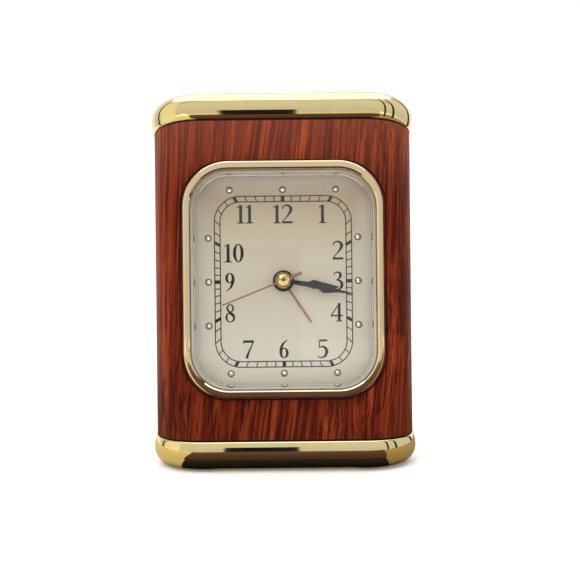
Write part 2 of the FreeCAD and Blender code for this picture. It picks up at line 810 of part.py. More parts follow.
def cap(name, is_top):
    """One metal cap, drawn with its seam at zero and its flat end up."""
    body = new_body(name)
    middle = new_sketch(body, f"{name}_middle", "YZ_Plane")
    cap_section(middle)
    run = pad(body, f"{name}_run", middle, S.cap_flat)
    run.SideType = "Symmetric"
    mirrored(body, f"{name}_run_pair", [run], "XZ_Plane")
    end = new_sketch(body, f"{name}_end", "YZ_Plane", x=S.cap_flat / 2)
    cap_section(end)
    spin = body.newObject("PartDesign::Revolution", f"{name}_round_end")
    spin.Profile = end
    spin.ReferenceAxis = (end, ["V_Axis"])
    spin.Angle = 180
    spin.Reversed = True
    end.Visibility = False
    mirrored(body, f"{name}_end_pair", [spin], "YZ_Plane")
    hollow = new_sketch(body, f"{name}_hollow_outline", "XY_Plane")
    stadium(hollow, S.case_width - 2 * S.cap_rim, S.case_depth - 2 * S.cap_rim)
    inside = S.cap_height - S.cap_plate
    pocket(body, f"{name}_hollow", hollow, inside, reverse=True)
    spigot = new_sketch(body, f"{name}_spigot_outline", "XY_Plane", z=-S.spigot_depth)
    gap = 2 * S.spigot_gap
    stadium(spigot, S.inner_width - gap, S.inner_depth - gap)
    stadium(spigot, S.case_width - 2 * S.cap_rim, S.case_depth - 2 * S.cap_rim)
    pad(body, f"{name}_spigot", spigot, S.spigot_depth)
    bosses = new_sketch(body, f"{name}_boss_outline", "XY_Plane")
    for side in (-1, 1):
        circle(bosses, side * S.rod_across / 2, ZERO, S.rod_radius + S.rod_boss_wall)
    pad(body, f"{name}_bosses", bosses, inside + S.cap_plate / 2)
    holes = new_sketch(body, f"{name}_rod_holes", "XY_Plane")
    for side in (-1, 1):
        circle(holes, side * S.rod_across / 2, ZERO, S.rod_radius + (S.run_gap if is_top else S.rod_gap))
    pocket(body, f"{name}_holes", holes, inside if is_top else S.cap_height, reverse=True)
    if not is_top:
        recess = new_sketch(body, f"{name}_recess_outline", "XY_Plane", z=S.cap_height)
        stadium(recess, S.case_width - 2 * S.felt_inset, S.case_depth - 2 * S.felt_inset)
        pocket(body, f"{name}_recess", recess, S.felt_recess)
        heads = new_sketch(body, f"{name}_head_outline", "XY_Plane", z=S.cap_height)
        for side in (-1, 1):
            circle(heads, side * S.rod_across / 2, ZERO, S.rod_head_radius + S.rod_gap)
        pocket(body, f"{name}_head_holes", heads, S.felt_recess + S.rod_head_height + 2 * S.seat_gap)
        body.Placement.Rotation = Rotation(Vector(0, 1, 0), 180)
    bind_base(body, "Placement", ZERO, ZERO, S.wood_high if is_top else S.wood_low)
    keep(body, name)


def base_felt():
    body = new_body("base_felt")
    sketch = new_sketch(body, "felt_outline", "XY_Plane")
    inset = 2 * (S.felt_inset + S.felt_gap)
    stadium(sketch, S.case_width - inset, S.case_depth - inset)
    pad(body, "felt_pad", sketch, S.felt_thickness)
    keep(body, "base_felt")


def tie_rods():
    head_low = S.felt_stand + S.felt_recess + S.seat_gap
    rod_low = head_low + S.rod_head_height
    rod_high = S.wood_high + S.cap_height - S.cap_plate - S.rod_end_gap
    up = Vector(0, 0, 1)
    rods = []
    for side, key in ((-1, "left"), (1, "right")):
        x = side * S.rod_across / 2
        rods.append(joined(f"{key}_rod", [
            cylinder(f"{key}_rod_head", S.rod_head_radius, S.rod_head_height, x, ZERO, head_low, up),
            cylinder(f"{key}_rod_shank", S.rod_radius, rod_high - rod_low, x, ZERO, rod_low, up),
        ]))
    keep(grouped("rod_pair", rods), "tie_rods")


# Bezel, crystal, surround and dial
def tab_places():
    """Middle, outward direction and side of each bezel tab."""
    side = S.skirt_width / 2
    end = S.skirt_height / 2
    places = [(x * side, z, x, 0) for x in (-1, 1) for z in (S.tab_high, -S.tab_low)]
    return places + [(ZERO, z * end, 0, z) for z in (-1, 1)]


def tab_box(name, x, z, across, up, y0, y1, inward, outward, half):
    """A box on a bezel tab, from inward to outward of the skirt's outer face."""
    if across:
        x0, x1 = (x - inward, x + outward) if across > 0 else (x - outward, x + inward)
        return box(name, x0, x1, y0, y1, S.dial_z + z - half, S.dial_z + z + half)
    z0, z1 = (z - inward, z + outward) if up > 0 else (z - outward, z + inward)
    return box(name, x - half, x + half, y0, y1, S.dial_z + z0, S.dial_z + z1)


def front_bezel():
    body = new_body("bezel_ring")
    front_pad(
        body, "bezel_block", lambda sketch: rounded(sketch, S.bezel_width, S.bezel_height, S.bezel_corner),
        S.bezel_front, S.bezel_back, z=S.dial_z,
    )
    front_pad(
        body, "bezel_skirt", lambda sketch: rounded(sketch, S.skirt_width, S.skirt_height, S.skirt_corner),
        S.bezel_back, S.dial_back, z=S.dial_z,
    )
    front_cut(
        body, "bezel_nest", lambda sketch: rounded(sketch, S.nest_width, S.nest_height, S.nest_corner),
        S.lip_back, S.dial_back, z=S.dial_z,
    )
    opened = front_cut(
        body, "bezel_opening",
        lambda sketch: rounded(sketch, S.opening_width, S.opening_height, S.opening_corner),
        S.bezel_front, S.lip_back, z=S.dial_z,
    )
    wide = S.opening_width.value / 2

    def is_front(bounds, outside):
        level = abs(bounds.YMin - S.bezel_front.value) + abs(bounds.YMax - S.bezel_front.value) < 1e-3
        reach = max(abs(bounds.XMin), abs(bounds.XMax), 0)
        height = max(abs(bounds.ZMin - S.dial_z.value), abs(bounds.ZMax - S.dial_z.value))
        inner = reach < wide + 1e-3 and height < S.opening_height.value / 2 + 1e-3
        return level and inner != outside

    outer = dressed(
        body, "Fillet", "bezel_outer_round", opened, "Radius", S.bezel_round,
        lambda bounds: is_front(bounds, True),
    )
    dressed(
        body, "Chamfer", "bezel_inner_bevel", outer, "Size", S.bezel_bevel,
        lambda bounds: is_front(bounds, False),
    )
    tabs = []
    for index, (x, z, across, up) in enumerate(tab_places(), start=1):
        half = S.tab_width / 2
        back = S.frame_back + S.tab_slot_gap
        tabs.append(tab_box(
            f"tab_{index}", x, z, across, up, S.dial_back - S.bezel_skirt_wall, back + S.tab_wall,
            S.tab_wall, ZERO, half,
        ))
        tabs.append(tab_box(
            f"tab_{index}_bend", x, z, across, up, back, back + S.tab_wall, ZERO, S.tab_reach, half,
        ))
    keep(joined("bezel_with_tabs", [body] + tabs), "front_bezel")


def crystal():
    body = new_body("crystal")
    gap = 2 * S.crystal_gap
    flange_front = S.lip_back + S.seat_gap
    front = S.bezel_front + S.crystal_shy
    back = flange_front + S.crystal_flange
    rim = 2 * S.crystal_front_gap
    dome_width, dome_height = S.opening_width - rim, S.opening_height - rim
    dome_corner = S.opening_corner - S.crystal_front_gap
    front_pad(
        body, "crystal_flange",
        lambda sketch: rounded(sketch, S.nest_width - gap, S.nest_height - gap, S.nest_corner - S.crystal_gap),
        flange_front, back, z=S.dial_z,
    )
    dome = front_pad(
        body, "crystal_dome", lambda sketch: rounded(sketch, dome_width, dome_height, dome_corner),
        front, flange_front, z=S.dial_z,
    )
    dressed(
        body, "Chamfer", "crystal_edge", dome, "Size", S.crystal_bevel,
        lambda bounds: abs(bounds.YMin - front.value) + abs(bounds.YMax - front.value) < 1e-3,
    )
    wall = 2 * S.crystal_wall
    front_cut(
        body, "crystal_inside",
        lambda sketch: rounded(sketch, dome_width - wall, dome_height - wall, dome_corner - S.crystal_wall),
        front + S.crystal_pane, back, z=S.dial_z,
    )
    keep(body, "crystal")


def dial_surround():
    body = new_body("dial_surround")
    gap = 2 * S.crystal_gap
    wall = 2 * S.surround_wall
    front = S.lip_back + S.crystal_flange + 2 * S.seat_gap

    def ring(sketch):
        corner = S.nest_corner - S.crystal_gap
        rounded(sketch, S.nest_width - gap, S.nest_height - gap, corner)
        rounded(sketch, S.nest_width - gap - wall, S.nest_height - gap - wall, corner - S.surround_wall)

    front_pad(body, "surround_ring", ring, front, S.dial_front - S.seat_gap, z=S.dial_z)
    keep(body, "dial_surround")


def dial_plate():
    body = new_body("dial_plate")
    gap = 2 * S.crystal_gap

    def plate(sketch):
        rounded(sketch, S.nest_width - gap, S.nest_height - gap, S.nest_corner - S.crystal_gap)
        circle(sketch, ZERO, ZERO, S.dial_hole)

    front_pad(body, "dial_sheet", plate, S.dial_front, S.dial_back, z=S.dial_z)
    keep(body, "dial_plate")


def stud_places():
    """The twelve hour places: four beside the dial's middle lines, eight mirrored about both."""
    side, quarter = S.stud_side_step, S.stud_quarter_up
    step, end = S.stud_end_step, S.stud_end_up
    places = [(ZERO, end), (ZERO, -end), (side, ZERO), (-side, ZERO)]
    return places + corners(step, end) + corners(side, quarter)


def hour_studs():
    radius, height = S.stud_radius, S.stud_height
    sphere_value = (radius.value ** 2 / height.value + height.value) / 2
    studs = []
    for index, (x, z) in enumerate(stud_places(), start=1):
        ball = doc.addObject("Part::Sphere", f"stud_{index}_ball")
        share = sphere_value / radius.value
        bind(ball, "Radius", radius * share)
        bind_base(ball, "Placement", x, S.dial_front + radius * share - height, S.dial_z + z)
        room = cylinder(f"stud_{index}_room", radius, height, x, S.dial_front - height, S.dial_z + z)
        stud = doc.addObject("Part::Common", f"stud_{index}")
        stud.Base = room
        stud.Tool = ball
        studs.append(stud)
    keep(grouped("stud_set", studs), "hour_studs")


# Inner frame and back
def inner_frame():
    body = new_body("frame")
    front_pad(
        body, "frame_sheet", lambda sketch: rounded(sketch, S.frame_width, S.frame_height, S.bezel_corner),
        S.frame_front, S.frame_back, z=S.dial_z,
    )
    half = S.frame_flange_width / 2
    low, high = S.frame_height / 2 - S.frame_plate, S.frame_flange_height / 2
    for key, level in (("low", -1), ("high", 1)):
        ends = (-high, -low) if level < 0 else (low, high)
        front_pad(
            body, f"frame_{key}_flange", lambda sketch: rectangle(sketch, -half, half, *ends),
            S.frame_front, S.frame_back, z=S.dial_z,
        )
        lip_low = S.skirt_height / 2 + 2 * S.crystal_front_gap
        ends = (-high, -lip_low) if level < 0 else (lip_low, high)
        front_pad(
            body, f"frame_{key}_lip", lambda sketch: rectangle(sketch, -half, half, *ends),
            S.inner_front, S.frame_front, z=S.dial_z,
        )
    for index, (x, z) in enumerate(corners(S.post_across / 2, S.post_up / 2), start=1):
        front_pad(
            body, f"frame_post_{index}", lambda sketch: circle(sketch, x, z, S.post_radius),
            S.frame_back, S.cover_front - S.seat_gap, z=S.dial_z,
        )
        front_cut(
            body, f"frame_pilot_{index}", lambda sketch: circle(sketch, x, z, S.screw_radius + S.run_gap),
            S.cover_front - S.screw_length, S.cover_front, z=S.dial_z,
        )
    front_cut(
        body, "frame_middle_hole", lambda sketch: circle(sketch, ZERO, ZERO, S.frame_bore),
        S.frame_front, S.frame_back, z=S.dial_z,
    )
    for index, (x, z) in enumerate(ear_places(), start=1):
        front_cut(
            body, f"frame_fixing_{index}", lambda sketch: circle(sketch, x, z, S.fixing_radius + S.run_gap),
            S.frame_front, S.frame_back, z=S.dial_z,
        )
    slots = []
    for index, (x, z, across, up) in enumerate(tab_places(), start=1):
        slots.append(tab_box(
            f"slot_{index}", x, z, across, up, S.frame_front - S.seat_gap, S.frame_back + S.seat_gap,
            S.tab_wall + S.tab_slot_gap, S.tab_slot_gap, S.tab_width / 2 + S.tab_slot_gap,
        ))
    keep(cut_from("frame_with_slots", body, slots), "inner_frame")


def ear_places():
    """The four screws that hold the movement to the inner frame."""
    side = S.ear_across / 2
    return [(x * side, z) for x in (-1, 1) for z in (S.ear_high, -S.ear_low)]


def back_cover():
    body = new_body("cover")
    front_pad(
        body, "cover_sheet", lambda sketch: rounded(sketch, S.cover_width, S.cover_height, S.cover_corner),
        S.cover_front, S.cover_back, z=S.dial_z,
    )
    lug_low = S.door_hinge_down + S.lug_reach
    lug_high = S.door_hinge_down - S.lug_reach
    for key, side in (("left", -1), ("right", 1)):
        ends = sorted((side * S.lug_inner, side * S.lug_outer), key=lambda size: size.value)
        front_pad(
            body, f"cover_{key}_lug", lambda sketch: rectangle(sketch, *ends, -lug_low, -lug_high),
            S.cover_front - S.lug_reach, S.cover_front, z=S.dial_z,
        )
    room_x, room_z = S.switch_half_width + S.switch_travel + S.switch_gap, S.switch_half_height + S.switch_gap
    rail_back = S.cover_front
    slide_front = S.cover_front - S.switch_gap - S.switch_plate - S.switch_gap
    across, up = S.switch_across + S.switch_travel / 2, S.switch_up
    for key, level in (("low", -1), ("high", 1)):
        wall = sorted((level * room_z, level * (room_z + S.rail_wall)), key=lambda size: size.value)
        lip = sorted((level * (room_z - S.rail_lip), level * (room_z + S.rail_wall)), key=lambda size: size.value)
        half = S.switch_half_width
        front_pad(
            body, f"cover_{key}_rail", lambda sketch: rectangle(sketch, -half, half, *wall),
            slide_front, rail_back, x=across, z=S.dial_z + up,
        )
        front_pad(
            body, f"cover_{key}_rail_lip", lambda sketch: rectangle(sketch, -half, half, *lip),
            slide_front - S.rail_wall, slide_front, x=across, z=S.dial_z + up,
        )
    far = S.cover_front - S.overrun
    out = S.cover_back
    window = (S.door_half_width + S.door_gap, -(S.door_bottom + S.door_swing_gap), -(S.door_top - S.door_gap))
    front_cut(
        body, "cover_cell_window", lambda sketch: rectangle(sketch, -window[0], window[0], window[1], window[2]),
        far, out, z=S.dial_z,
    )
    notch = (S.lug_inner, -(S.door_hinge_down + S.knuckle_radius + S.door_gap))
    front_cut(
        body, "cover_hinge_notch", lambda sketch: rectangle(sketch, -notch[0], notch[0], notch[1], window[1]),
        far, out, z=S.dial_z,
    )
    for index, (x, z) in enumerate(corners(S.post_across / 2, S.post_up / 2), start=1):
        front_cut(
            body, f"cover_screw_hole_{index}", lambda sketch: circle(sketch, x, z, S.screw_radius + S.screw_gap),
            S.cover_front, out, z=S.dial_z,
        )
        front_cut(
            body, f"cover_screw_seat_{index}",
            lambda sketch: circle(sketch, x, z, S.screw_head_radius + S.screw_gap),
            S.cover_back - S.screw_head_height - S.seat_gap, out, z=S.dial_z,
        )
    for key, (x, z) in (("time", TIME_AT), ("alarm", ALARM_AT)):
        front_cut(
            body, f"cover_{key}_hole", lambda sketch: circle(sketch, x, z, S.knob_radius + S.knob_hole_gap),
            S.cover_front, out, z=S.dial_z,
        )
    stem_x = S.switch_stem_half_width + S.switch_travel / 2 + S.switch_gap
    stem_z = S.switch_stem_half_height + S.switch_gap
    front_cut(
        body, "cover_switch_slot", lambda sketch: rectangle(sketch, -stem_x, stem_x, -stem_z, stem_z),
        S.cover_front, out, x=across, z=S.dial_z + up,
    )
    half = S.sound_slot_half_width
    for step, reach_share in zip(range(-2, 3), SOUND_SLOT_SHARES):
        middle, reach = step * S.sound_slot_step, S.buzzer_mouth_radius * reach_share
        front_cut(
            body, f"cover_sound_slot_{step + 3}",
            lambda sketch: rectangle(sketch, middle - half, middle + half, -reach, reach),
            S.cover_front, out, x=-S.buzzer_across, z=S.dial_z + S.buzzer_up,
        )
    pin_reach = S.lug_outer - S.lug_inner
    pins = [
        cylinder(
            f"cover_{key}_pin_hole", S.door_pin_radius + S.run_gap, pin_reach,
            start, S.hinge_y, S.dial_z - S.door_hinge_down, Vector(1, 0, 0),
        )
        for key, start in (("left", -S.lug_outer), ("right", S.lug_inner))
    ]
    keep(cut_from("cover_with_pin_holes", body, pins), "back_cover")


def slotted_screw(name, x, z, head_front, shank_end, radius, head_radius, head_height):
    """A cheese-head screw along Y with its head to the back."""
    head_end = head_front + head_height
    head = cylinder(f"{name}_head", head_radius, head_height, x, head_front, z)
    shank = cylinder(f"{name}_shank", radius, head_front - shank_end, x, shank_end, z)
    slot = (head_end - S.screw_slot_depth, head_end)
    half = S.screw_slot_width / 2
    groove = box(f"{name}_slot", x - head_radius, x + head_radius, *slot, z - half, z + half)
    return cut_from(name, joined(f"{name}_blank", [head, shank]), [groove])


def screws():
    rear = []
    for index, (x, z) in enumerate(corners(S.post_across / 2, S.post_up / 2), start=1):
        rear.append(slotted_screw(
            f"cover_screw_{index}", x, S.dial_z + z, S.cover_back - S.screw_head_height,
            S.cover_front - S.screw_length + S.screw_gap, S.screw_radius, S.screw_head_radius,
            S.screw_head_height,
        ))
    keep(grouped("cover_screw_set", rear), "back_cover_screws")
    inner = []
    seat = S.gearbox_front + S.ear_thickness + S.seat_gap
    for index, (x, z) in enumerate(ear_places(), start=1):
        inner.append(slotted_screw(
            f"fixing_screw_{index}", x, S.dial_z + z, seat, seat - S.fixing_length, S.fixing_radius,
            S.fixing_head_radius, S.fixing_head_height,
        ))
    keep(grouped("fixing_screw_set", inner), "movement_screws")


def battery_door():
    body = new_body("door")
    half = S.door_half_width
    front_pad(
        body, "door_sheet", lambda sketch: rectangle(sketch, -half, half, -S.door_bottom, -S.door_top),
        S.cover_front, S.cover_back, z=S.dial_z,
    )
    knuckle = S.door_knuckle_half
    front_pad(
        body, "door_hinge_strip",
        lambda sketch: rectangle(sketch, -knuckle, knuckle, -S.door_hinge_down, -S.door_bottom),
        S.cover_front, S.cover_back, z=S.dial_z,
    )
    groove = S.door_rib_half
    for step in range(4):
        low = S.door_rib_down + 2 * S.door_rib * (step - 1)
        front_cut(
            body, f"door_grip_{step}",
            lambda sketch: rectangle(sketch, -groove, groove, -(low + S.door_rib), -low),
            S.cover_back - S.door_rib, S.cover_back, z=S.dial_z,
        )
    z = S.dial_z - S.door_hinge_down
    along_x = Vector(1, 0, 0)
    rod = cylinder("door_knuckle", S.knuckle_radius, 2 * knuckle, -knuckle, S.hinge_y, z, along_x)
    reach = knuckle + S.door_pin_reach
    pin = cylinder("door_pin", S.door_pin_radius, 2 * reach, -reach, S.hinge_y, z, along_x)
    keep(joined("door_with_hinge", [body, rod, pin]), "battery_door")


# Movement
def plate_holes(body, name, holes, y0, y1):
    """Cuts round holes, listed as (place, radius), through or into a plate."""
    def draw(sketch):
        for (x, z), radius in holes:
            circle(sketch, x, z, radius)

    return front_cut(body, name, draw, y0, y1, z=S.dial_z)


def movement_front_plate():
    body = new_body("front_plate")
    half = S.gearbox_half_width
    front_pad(
        body, "front_sheet", lambda sketch: rectangle(sketch, -half, half, -S.gearbox_bottom, S.gearbox_top),
        S.gearbox_front, S.plate_back, z=S.dial_z,
    )
    reach = S.ear_across / 2 + S.ear_half
    for index, (x, z) in enumerate(ear_places(), start=1):
        ends = (-reach, -half) if x.value < 0 else (half, reach)
        front_pad(
            body, f"front_ear_{index}",
            lambda sketch: rectangle(sketch, *ends, z - S.ear_half, z + S.ear_half),
            S.gearbox_front, S.gearbox_front + S.ear_thickness, z=S.dial_z,
        )
    plate_holes(
        body, "front_ear_holes", [(place, S.fixing_radius + S.screw_gap) for place in ear_places()],
        S.gearbox_front, S.gearbox_front + S.ear_thickness,
    )
    pivot = S.arbor_radius + S.run_gap
    plate_holes(
        body, "front_bores", [(CENTRE, S.alarm_pipe_radius + S.run_gap), (MOTION_AT, pivot)],
        S.gearbox_front, S.plate_back,
    )
    plate_holes(
        body, "front_pivots", [(place, S.shaft_radius + S.run_gap) for place in (TIME_AT, ALARM_AT)],
        S.plate_back - S.pivot_depth, S.plate_back,
    )
    keep(body, "movement_front_plate")


def movement_mid_plate():
    body = new_body("mid_plate")
    gap = S.gearbox_wall + S.mid_plate_gap
    half = S.gearbox_half_width - gap
    front_pad(
        body, "mid_sheet",
        lambda sketch: rectangle(sketch, -half, half, -(S.gearbox_bottom - gap), S.gearbox_top - gap),
        S.mid_front, S.mid_back, z=S.dial_z,
    )
    pivot = S.arbor_radius + S.run_gap
    shaft = S.shaft_radius + S.run_gap
    plate_holes(
        body, "mid_bores",
        [(CENTRE, S.minute_pipe_radius + S.run_gap), (TIME_AT, shaft), (ALARM_AT, shaft)]
        + [(place, pivot) for place in (THIRD_AT, MIDDLE_AT, ROTOR_AT, MOTION_AT)],
        S.mid_front, S.mid_back,
    )
    keep(body, "movement_mid_plate")


def movement_housing():
    body = new_body("housing")
    half, wall = S.gearbox_half_width, S.gearbox_wall
    low, high = -S.gearbox_bottom, S.gearbox_top
    start = S.plate_back + S.seat_gap
    front_pad(
        body, "housing_block", lambda sketch: rectangle(sketch, -half, half, low, high),
        start, S.gearbox_back, z=S.dial_z,
    )
    bay = S.bay_half_width
    floor = S.cell_axis - S.cell_radius - S.contact_clearance
    bay_front = floor - S.bay_wall
    front_pad(
        body, "bay_block", lambda sketch: rectangle(sketch, -bay, bay, -S.bay_bottom, low),
        bay_front, S.bay_end, z=S.dial_z,
    )
    front_cut(
        body, "housing_hollow",
        lambda sketch: rectangle(sketch, -half + wall, half - wall, low + wall, high - wall),
        start, S.rear_wall, z=S.dial_z,
    )
    room = S.bay_wall
    front_cut(
        body, "bay_hollow",
        lambda sketch: rectangle(sketch, -bay + room, bay - room, -S.bay_bottom + room, -S.bay_top - room / 2),
        floor, S.bay_end, z=S.dial_z,
    )
    pivot = S.arbor_radius + S.run_gap
    plate_holes(
        body, "housing_pivots",
        [(CENTRE, S.second_arbor_radius + S.run_gap)] + [(at, pivot) for at in (THIRD_AT, MIDDLE_AT, ROTOR_AT)],
        S.rear_wall, S.rear_wall + S.pivot_depth,
    )
    plate_holes(
        body, "housing_shaft_holes", [(at, S.shaft_radius + S.run_gap) for at in (TIME_AT, ALARM_AT)],
        S.rear_wall, S.gearbox_back,
    )
    keep(body, "movement_housing")


def battery_cell():
    up = S.cell_z
    along_x = Vector(1, 0, 0)
    total = S.cell_body + S.cell_nub
    start = -(total / 2)
    body = cylinder("cell_can", S.cell_radius, S.cell_body, start, S.cell_axis, up, along_x)
    nub = cylinder("cell_nub", S.cell_nub_radius, total, start, S.cell_axis, up, along_x)
    keep(joined("cell_with_nub", [body, nub]), "battery_cell")


def contacts():
    reach = (S.cell_body + S.cell_nub) / 2 + S.contact_clearance
    wall = S.bay_half_width - S.bay_wall - S.contact_back
    half = S.contact_half_width
    low = S.cell_axis - S.cell_radius
    for name, side in (("positive_contact", 1), ("negative_contact", -1)):
        ends = sorted((side * wall, side * (wall - S.contact_wall)), key=lambda size: size.value)
        leaf = box(f"{name}_leaf", *ends, low, S.bay_end, S.cell_z - half, S.cell_z + half)
        length = wall - reach
        start = side * reach
        nose = cylinder(
            f"{name}_nose", S.contact_nose_radius, length, start, S.cell_axis, S.cell_z, Vector(side, 0, 0)
        )
        keep(joined(f"{name}_pair", [leaf, nose]), name)


# Seconds train, from the rotor to the drive wheel
def arbor_ends():
    """Where the train's arbors start in the mid plate and end in the rear wall."""
    return S.mid_front + S.pivot_end_gap, S.rear_wall + S.pivot_depth - S.pivot_end_gap


def geared_arbor(name, at, wheel, pinion):
    """An arbor with a wheel and a pinion. Each is (teeth, module, layer, phase)."""
    body = new_body(name)
    start, end = arbor_ends()
    tube(body, f"{name}_arbor", ZERO, S.arbor_radius, start, end)
    teeth, module, layer, phase = wheel
    toothed(body, f"{name}_wheel", teeth, module, layer, layer + S.wheel_thickness, phase)
    teeth, module, layer, phase = pinion
    over = S.pinion_over
    toothed(body, f"{name}_pinion", teeth, module, layer - over, layer + S.wheel_thickness + over, phase)
    keep(place(body, at), name)


def seconds_train():
    third_phase = meshed("second_pinion", 0, "third_wheel", ARBOR_TURNS["third"])
    geared_arbor(
        "third_wheel", THIRD_AT, ("third_wheel", S.module_third, S.third_layer, third_phase),
        ("third_pinion", MODULE_DRIVE, S.minute_layer, 0),
    )
    middle_pinion = meshed("second_wheel", 0, "middle_pinion", ARBOR_TURNS["middle"])
    geared_arbor(
        "intermediate_wheel", MIDDLE_AT, ("middle_wheel", S.module_rotor, S.middle_layer, 0),
        ("middle_pinion", S.module_second, S.second_layer, middle_pinion),
    )
    second = new_body("second_wheel")
    bore = S.second_arbor_radius + S.press_gap
    collet = bore + S.collet_wall
    over = S.pinion_over
    tube(second, "second_collet", bore, collet, S.second_layer, S.second_layer + S.wheel_thickness + over)
    toothed(
        second, "second_disc", "second_wheel", S.module_second, S.second_layer,
        S.second_layer + S.wheel_thickness, 0, bore,
    )
    toothed(
        second, "second_pinion", "second_pinion", S.module_third, S.third_layer - over,
        S.second_layer + over, 0, bore,
    )
    keep(place(second), "second_wheel")
    arbor = new_body("second_arbor")
    end = S.rear_wall + S.pivot_depth - S.pivot_end_gap
    tube(arbor, "second_arbor_rod", ZERO, S.second_arbor_radius, S.second_hand_y - 2 * S.hand_hub_over, end)
    keep(place(arbor), "second_arbor")
    start = S.mid_front + S.pivot_end_gap
    end = S.rear_wall + S.pivot_depth - S.pivot_end_gap
    pinion = new_body("rotor_pinion")
    tube(pinion, "rotor_arbor", ZERO, S.arbor_radius, start, end)
    phase = meshed("middle_wheel", 0, "rotor_pinion", ARBOR_TURNS["rotor"])
    toothed(
        pinion, "rotor_teeth", "rotor_pinion", S.module_rotor, S.middle_layer - over,
        S.middle_layer + S.wheel_thickness + over, phase,
    )
    keep(place(pinion, ROTOR_AT), "rotor_pinion")
    magnet = new_body("rotor_magnet")
    bore = S.arbor_radius + S.press_gap
    tube(magnet, "magnet_ring", bore, S.magnet_radius, S.magnet_layer, S.magnet_layer + S.magnet_length)
    keep(place(magnet, ROTOR_AT), "rotor_magnet")
    drive = new_body("minute_drive_wheel")
    bore = S.minute_pipe_radius + S.run_gap
    phase = meshed("third_pinion", 0, "drive_wheel", ARBOR_TURNS["third"] + 180)
    tube(drive, "drive_collet", bore, bore + S.collet_wall, S.minute_layer, S.minute_layer + S.wheel_thickness)
    toothed(
        drive, "drive_disc", "drive_wheel", MODULE_DRIVE, S.minute_layer, S.minute_layer + S.wheel_thickness,
        phase, bore,
    )
    keep(place(drive), "minute_drive_wheel")


# Motion work, pipes and hands
def pipes_and_motion():
    over = S.pinion_over
    minute = new_body("minute_pipe")
    bore = S.second_arbor_radius + S.run_gap
    outer = S.minute_pipe_radius
    tip = S.minute_hand_y - 2 * S.hand_hub_over
    flange = S.minute_layer + S.wheel_thickness + S.seat_gap
    turned(minute, "minute_tube", [
        (bore, tip), (outer, tip), (outer, flange), (outer + S.pipe_flange, flange),
        (outer + S.pipe_flange, flange + S.pipe_flange_wall), (bore, flange + S.pipe_flange_wall),
    ])
    toothed(
        minute, "cannon", "cannon_pinion", S.module_motion, S.motion_layer - over,
        S.motion_layer + S.wheel_thickness + over, 0, bore,
    )
    keep(place(minute), "minute_pipe")
    motion_phase = meshed("cannon_pinion", 0, "motion_wheel", ARBOR_TURNS["motion"])
    motion = new_body("motion_wheel")
    start = S.gearbox_front + S.pivot_end_gap
    tube(motion, "motion_arbor", ZERO, S.arbor_radius, start, S.mid_back - S.pivot_end_gap)
    toothed(
        motion, "motion_disc", "motion_wheel", S.module_motion, S.motion_layer,
        S.motion_layer + S.wheel_thickness, motion_phase,
    )
    toothed(
        motion, "motion_pinion", "motion_pinion", MODULE_HOUR, S.hour_layer - over, S.motion_layer, 0,
    )
    keep(place(motion, MOTION_AT), "motion_wheel")
    pipes = (
        ("hour_wheel", "hour_wheel", MODULE_HOUR, S.hour_layer, S.minute_pipe_radius, S.hour_pipe_radius,
         S.hour_hand_y, meshed("motion_pinion", 0, "hour_wheel", ARBOR_TURNS["motion"] + 180)),
        ("alarm_wheel", "alarm_wheel", S.module_motion, S.alarm_layer, S.hour_pipe_radius,
         S.alarm_pipe_radius, S.alarm_hand_y, 0),
    )
    for name, teeth, module, layer, core, outer, hand_y, phase in pipes:
        body = new_body(name)
        bore = core + S.run_gap
        tube(body, f"{name}_tube", bore, outer, hand_y - 2 * S.hand_hub_over, layer + S.wheel_thickness)
        toothed(body, f"{name}_disc", teeth, module, layer, layer + S.wheel_thickness, phase, bore)
        keep(place(body), name)


def hands():
    rows = (
        ("alarm", S.alarm_hand_y, S.alarm_pipe_radius, S.alarm_hub_radius, S.alarm_hand_length, S.alarm_hand_half),
        ("hour", S.hour_hand_y, S.hour_pipe_radius, S.hour_hub_radius, S.hour_hand_length, S.hour_hand_half),
        ("minute", S.minute_hand_y, S.minute_pipe_radius, S.minute_hub_radius, S.minute_hand_length,
         S.minute_hand_half),
    )
    for key, y, core, hub, length, half in rows:
        body = new_body(f"{key}_hand")
        over = S.hand_hub_over
        back = y + S.hand_thickness
        tube(body, f"{key}_hub", core + S.press_gap, hub, y - over, back + over)
        stations = HAND_SHARES[key]
        right = [(half * width, length * reach) for reach, width in stations]
        left = [(-x, z) for x, z in reversed(right)]
        front_pad(body, f"{key}_arm", lambda sketch: polygon(sketch, right + left), y, back)
        keep(place(body, turn=HAND_TURNS[key]), f"{key}_hand")
    body = new_body("second_hand")
    y, back = S.second_hand_y, S.second_hand_y + S.hand_thickness
    over = S.hand_hub_over
    tube(body, "second_hub", S.second_arbor_radius + S.press_gap, S.second_hub_radius, y - over, back + over)
    half, tail, start = S.second_hand_half, S.second_tail_half, S.second_hub_radius - S.second_tail_half
    front_pad(
        body, "second_arm",
        lambda sketch: rectangle(sketch, -half, half, start, S.second_hand_length), y, back,
    )
    front_pad(
        body, "second_tail",
        lambda sketch: rectangle(sketch, -tail, tail, -S.second_tail_length, -start), y, back,
    )
    keep(place(body, turn=HAND_TURNS["second"]), "second_hand")
    button = new_body("hand_button")
    wall, radius, height = S.button_wall, S.button_radius, S.button_height
    low = y - over - S.seat_gap
    sketch = new_sketch(button, "button_profile", "XY_Plane")
    quarter = [math.radians(step * 18) for step in range(5)]
    outer = [(radius * math.cos(a), low - height * math.sin(a)) for a in quarter] + [(ZERO, low - height)]
    rim = S.second_arbor_radius + S.press_gap
    inner = [(ZERO, low - 3 * wall), (rim, low - 3 * wall), (rim, low)]
    polygon(sketch, outer + inner)
    spin = button.newObject("PartDesign::Revolution", "button_dome")
    spin.Profile = sketch
    spin.ReferenceAxis = (sketch, ["V_Axis"])
    spin.Angle = 360
    sketch.Visibility = False
    keep(place(button), "hand_button")


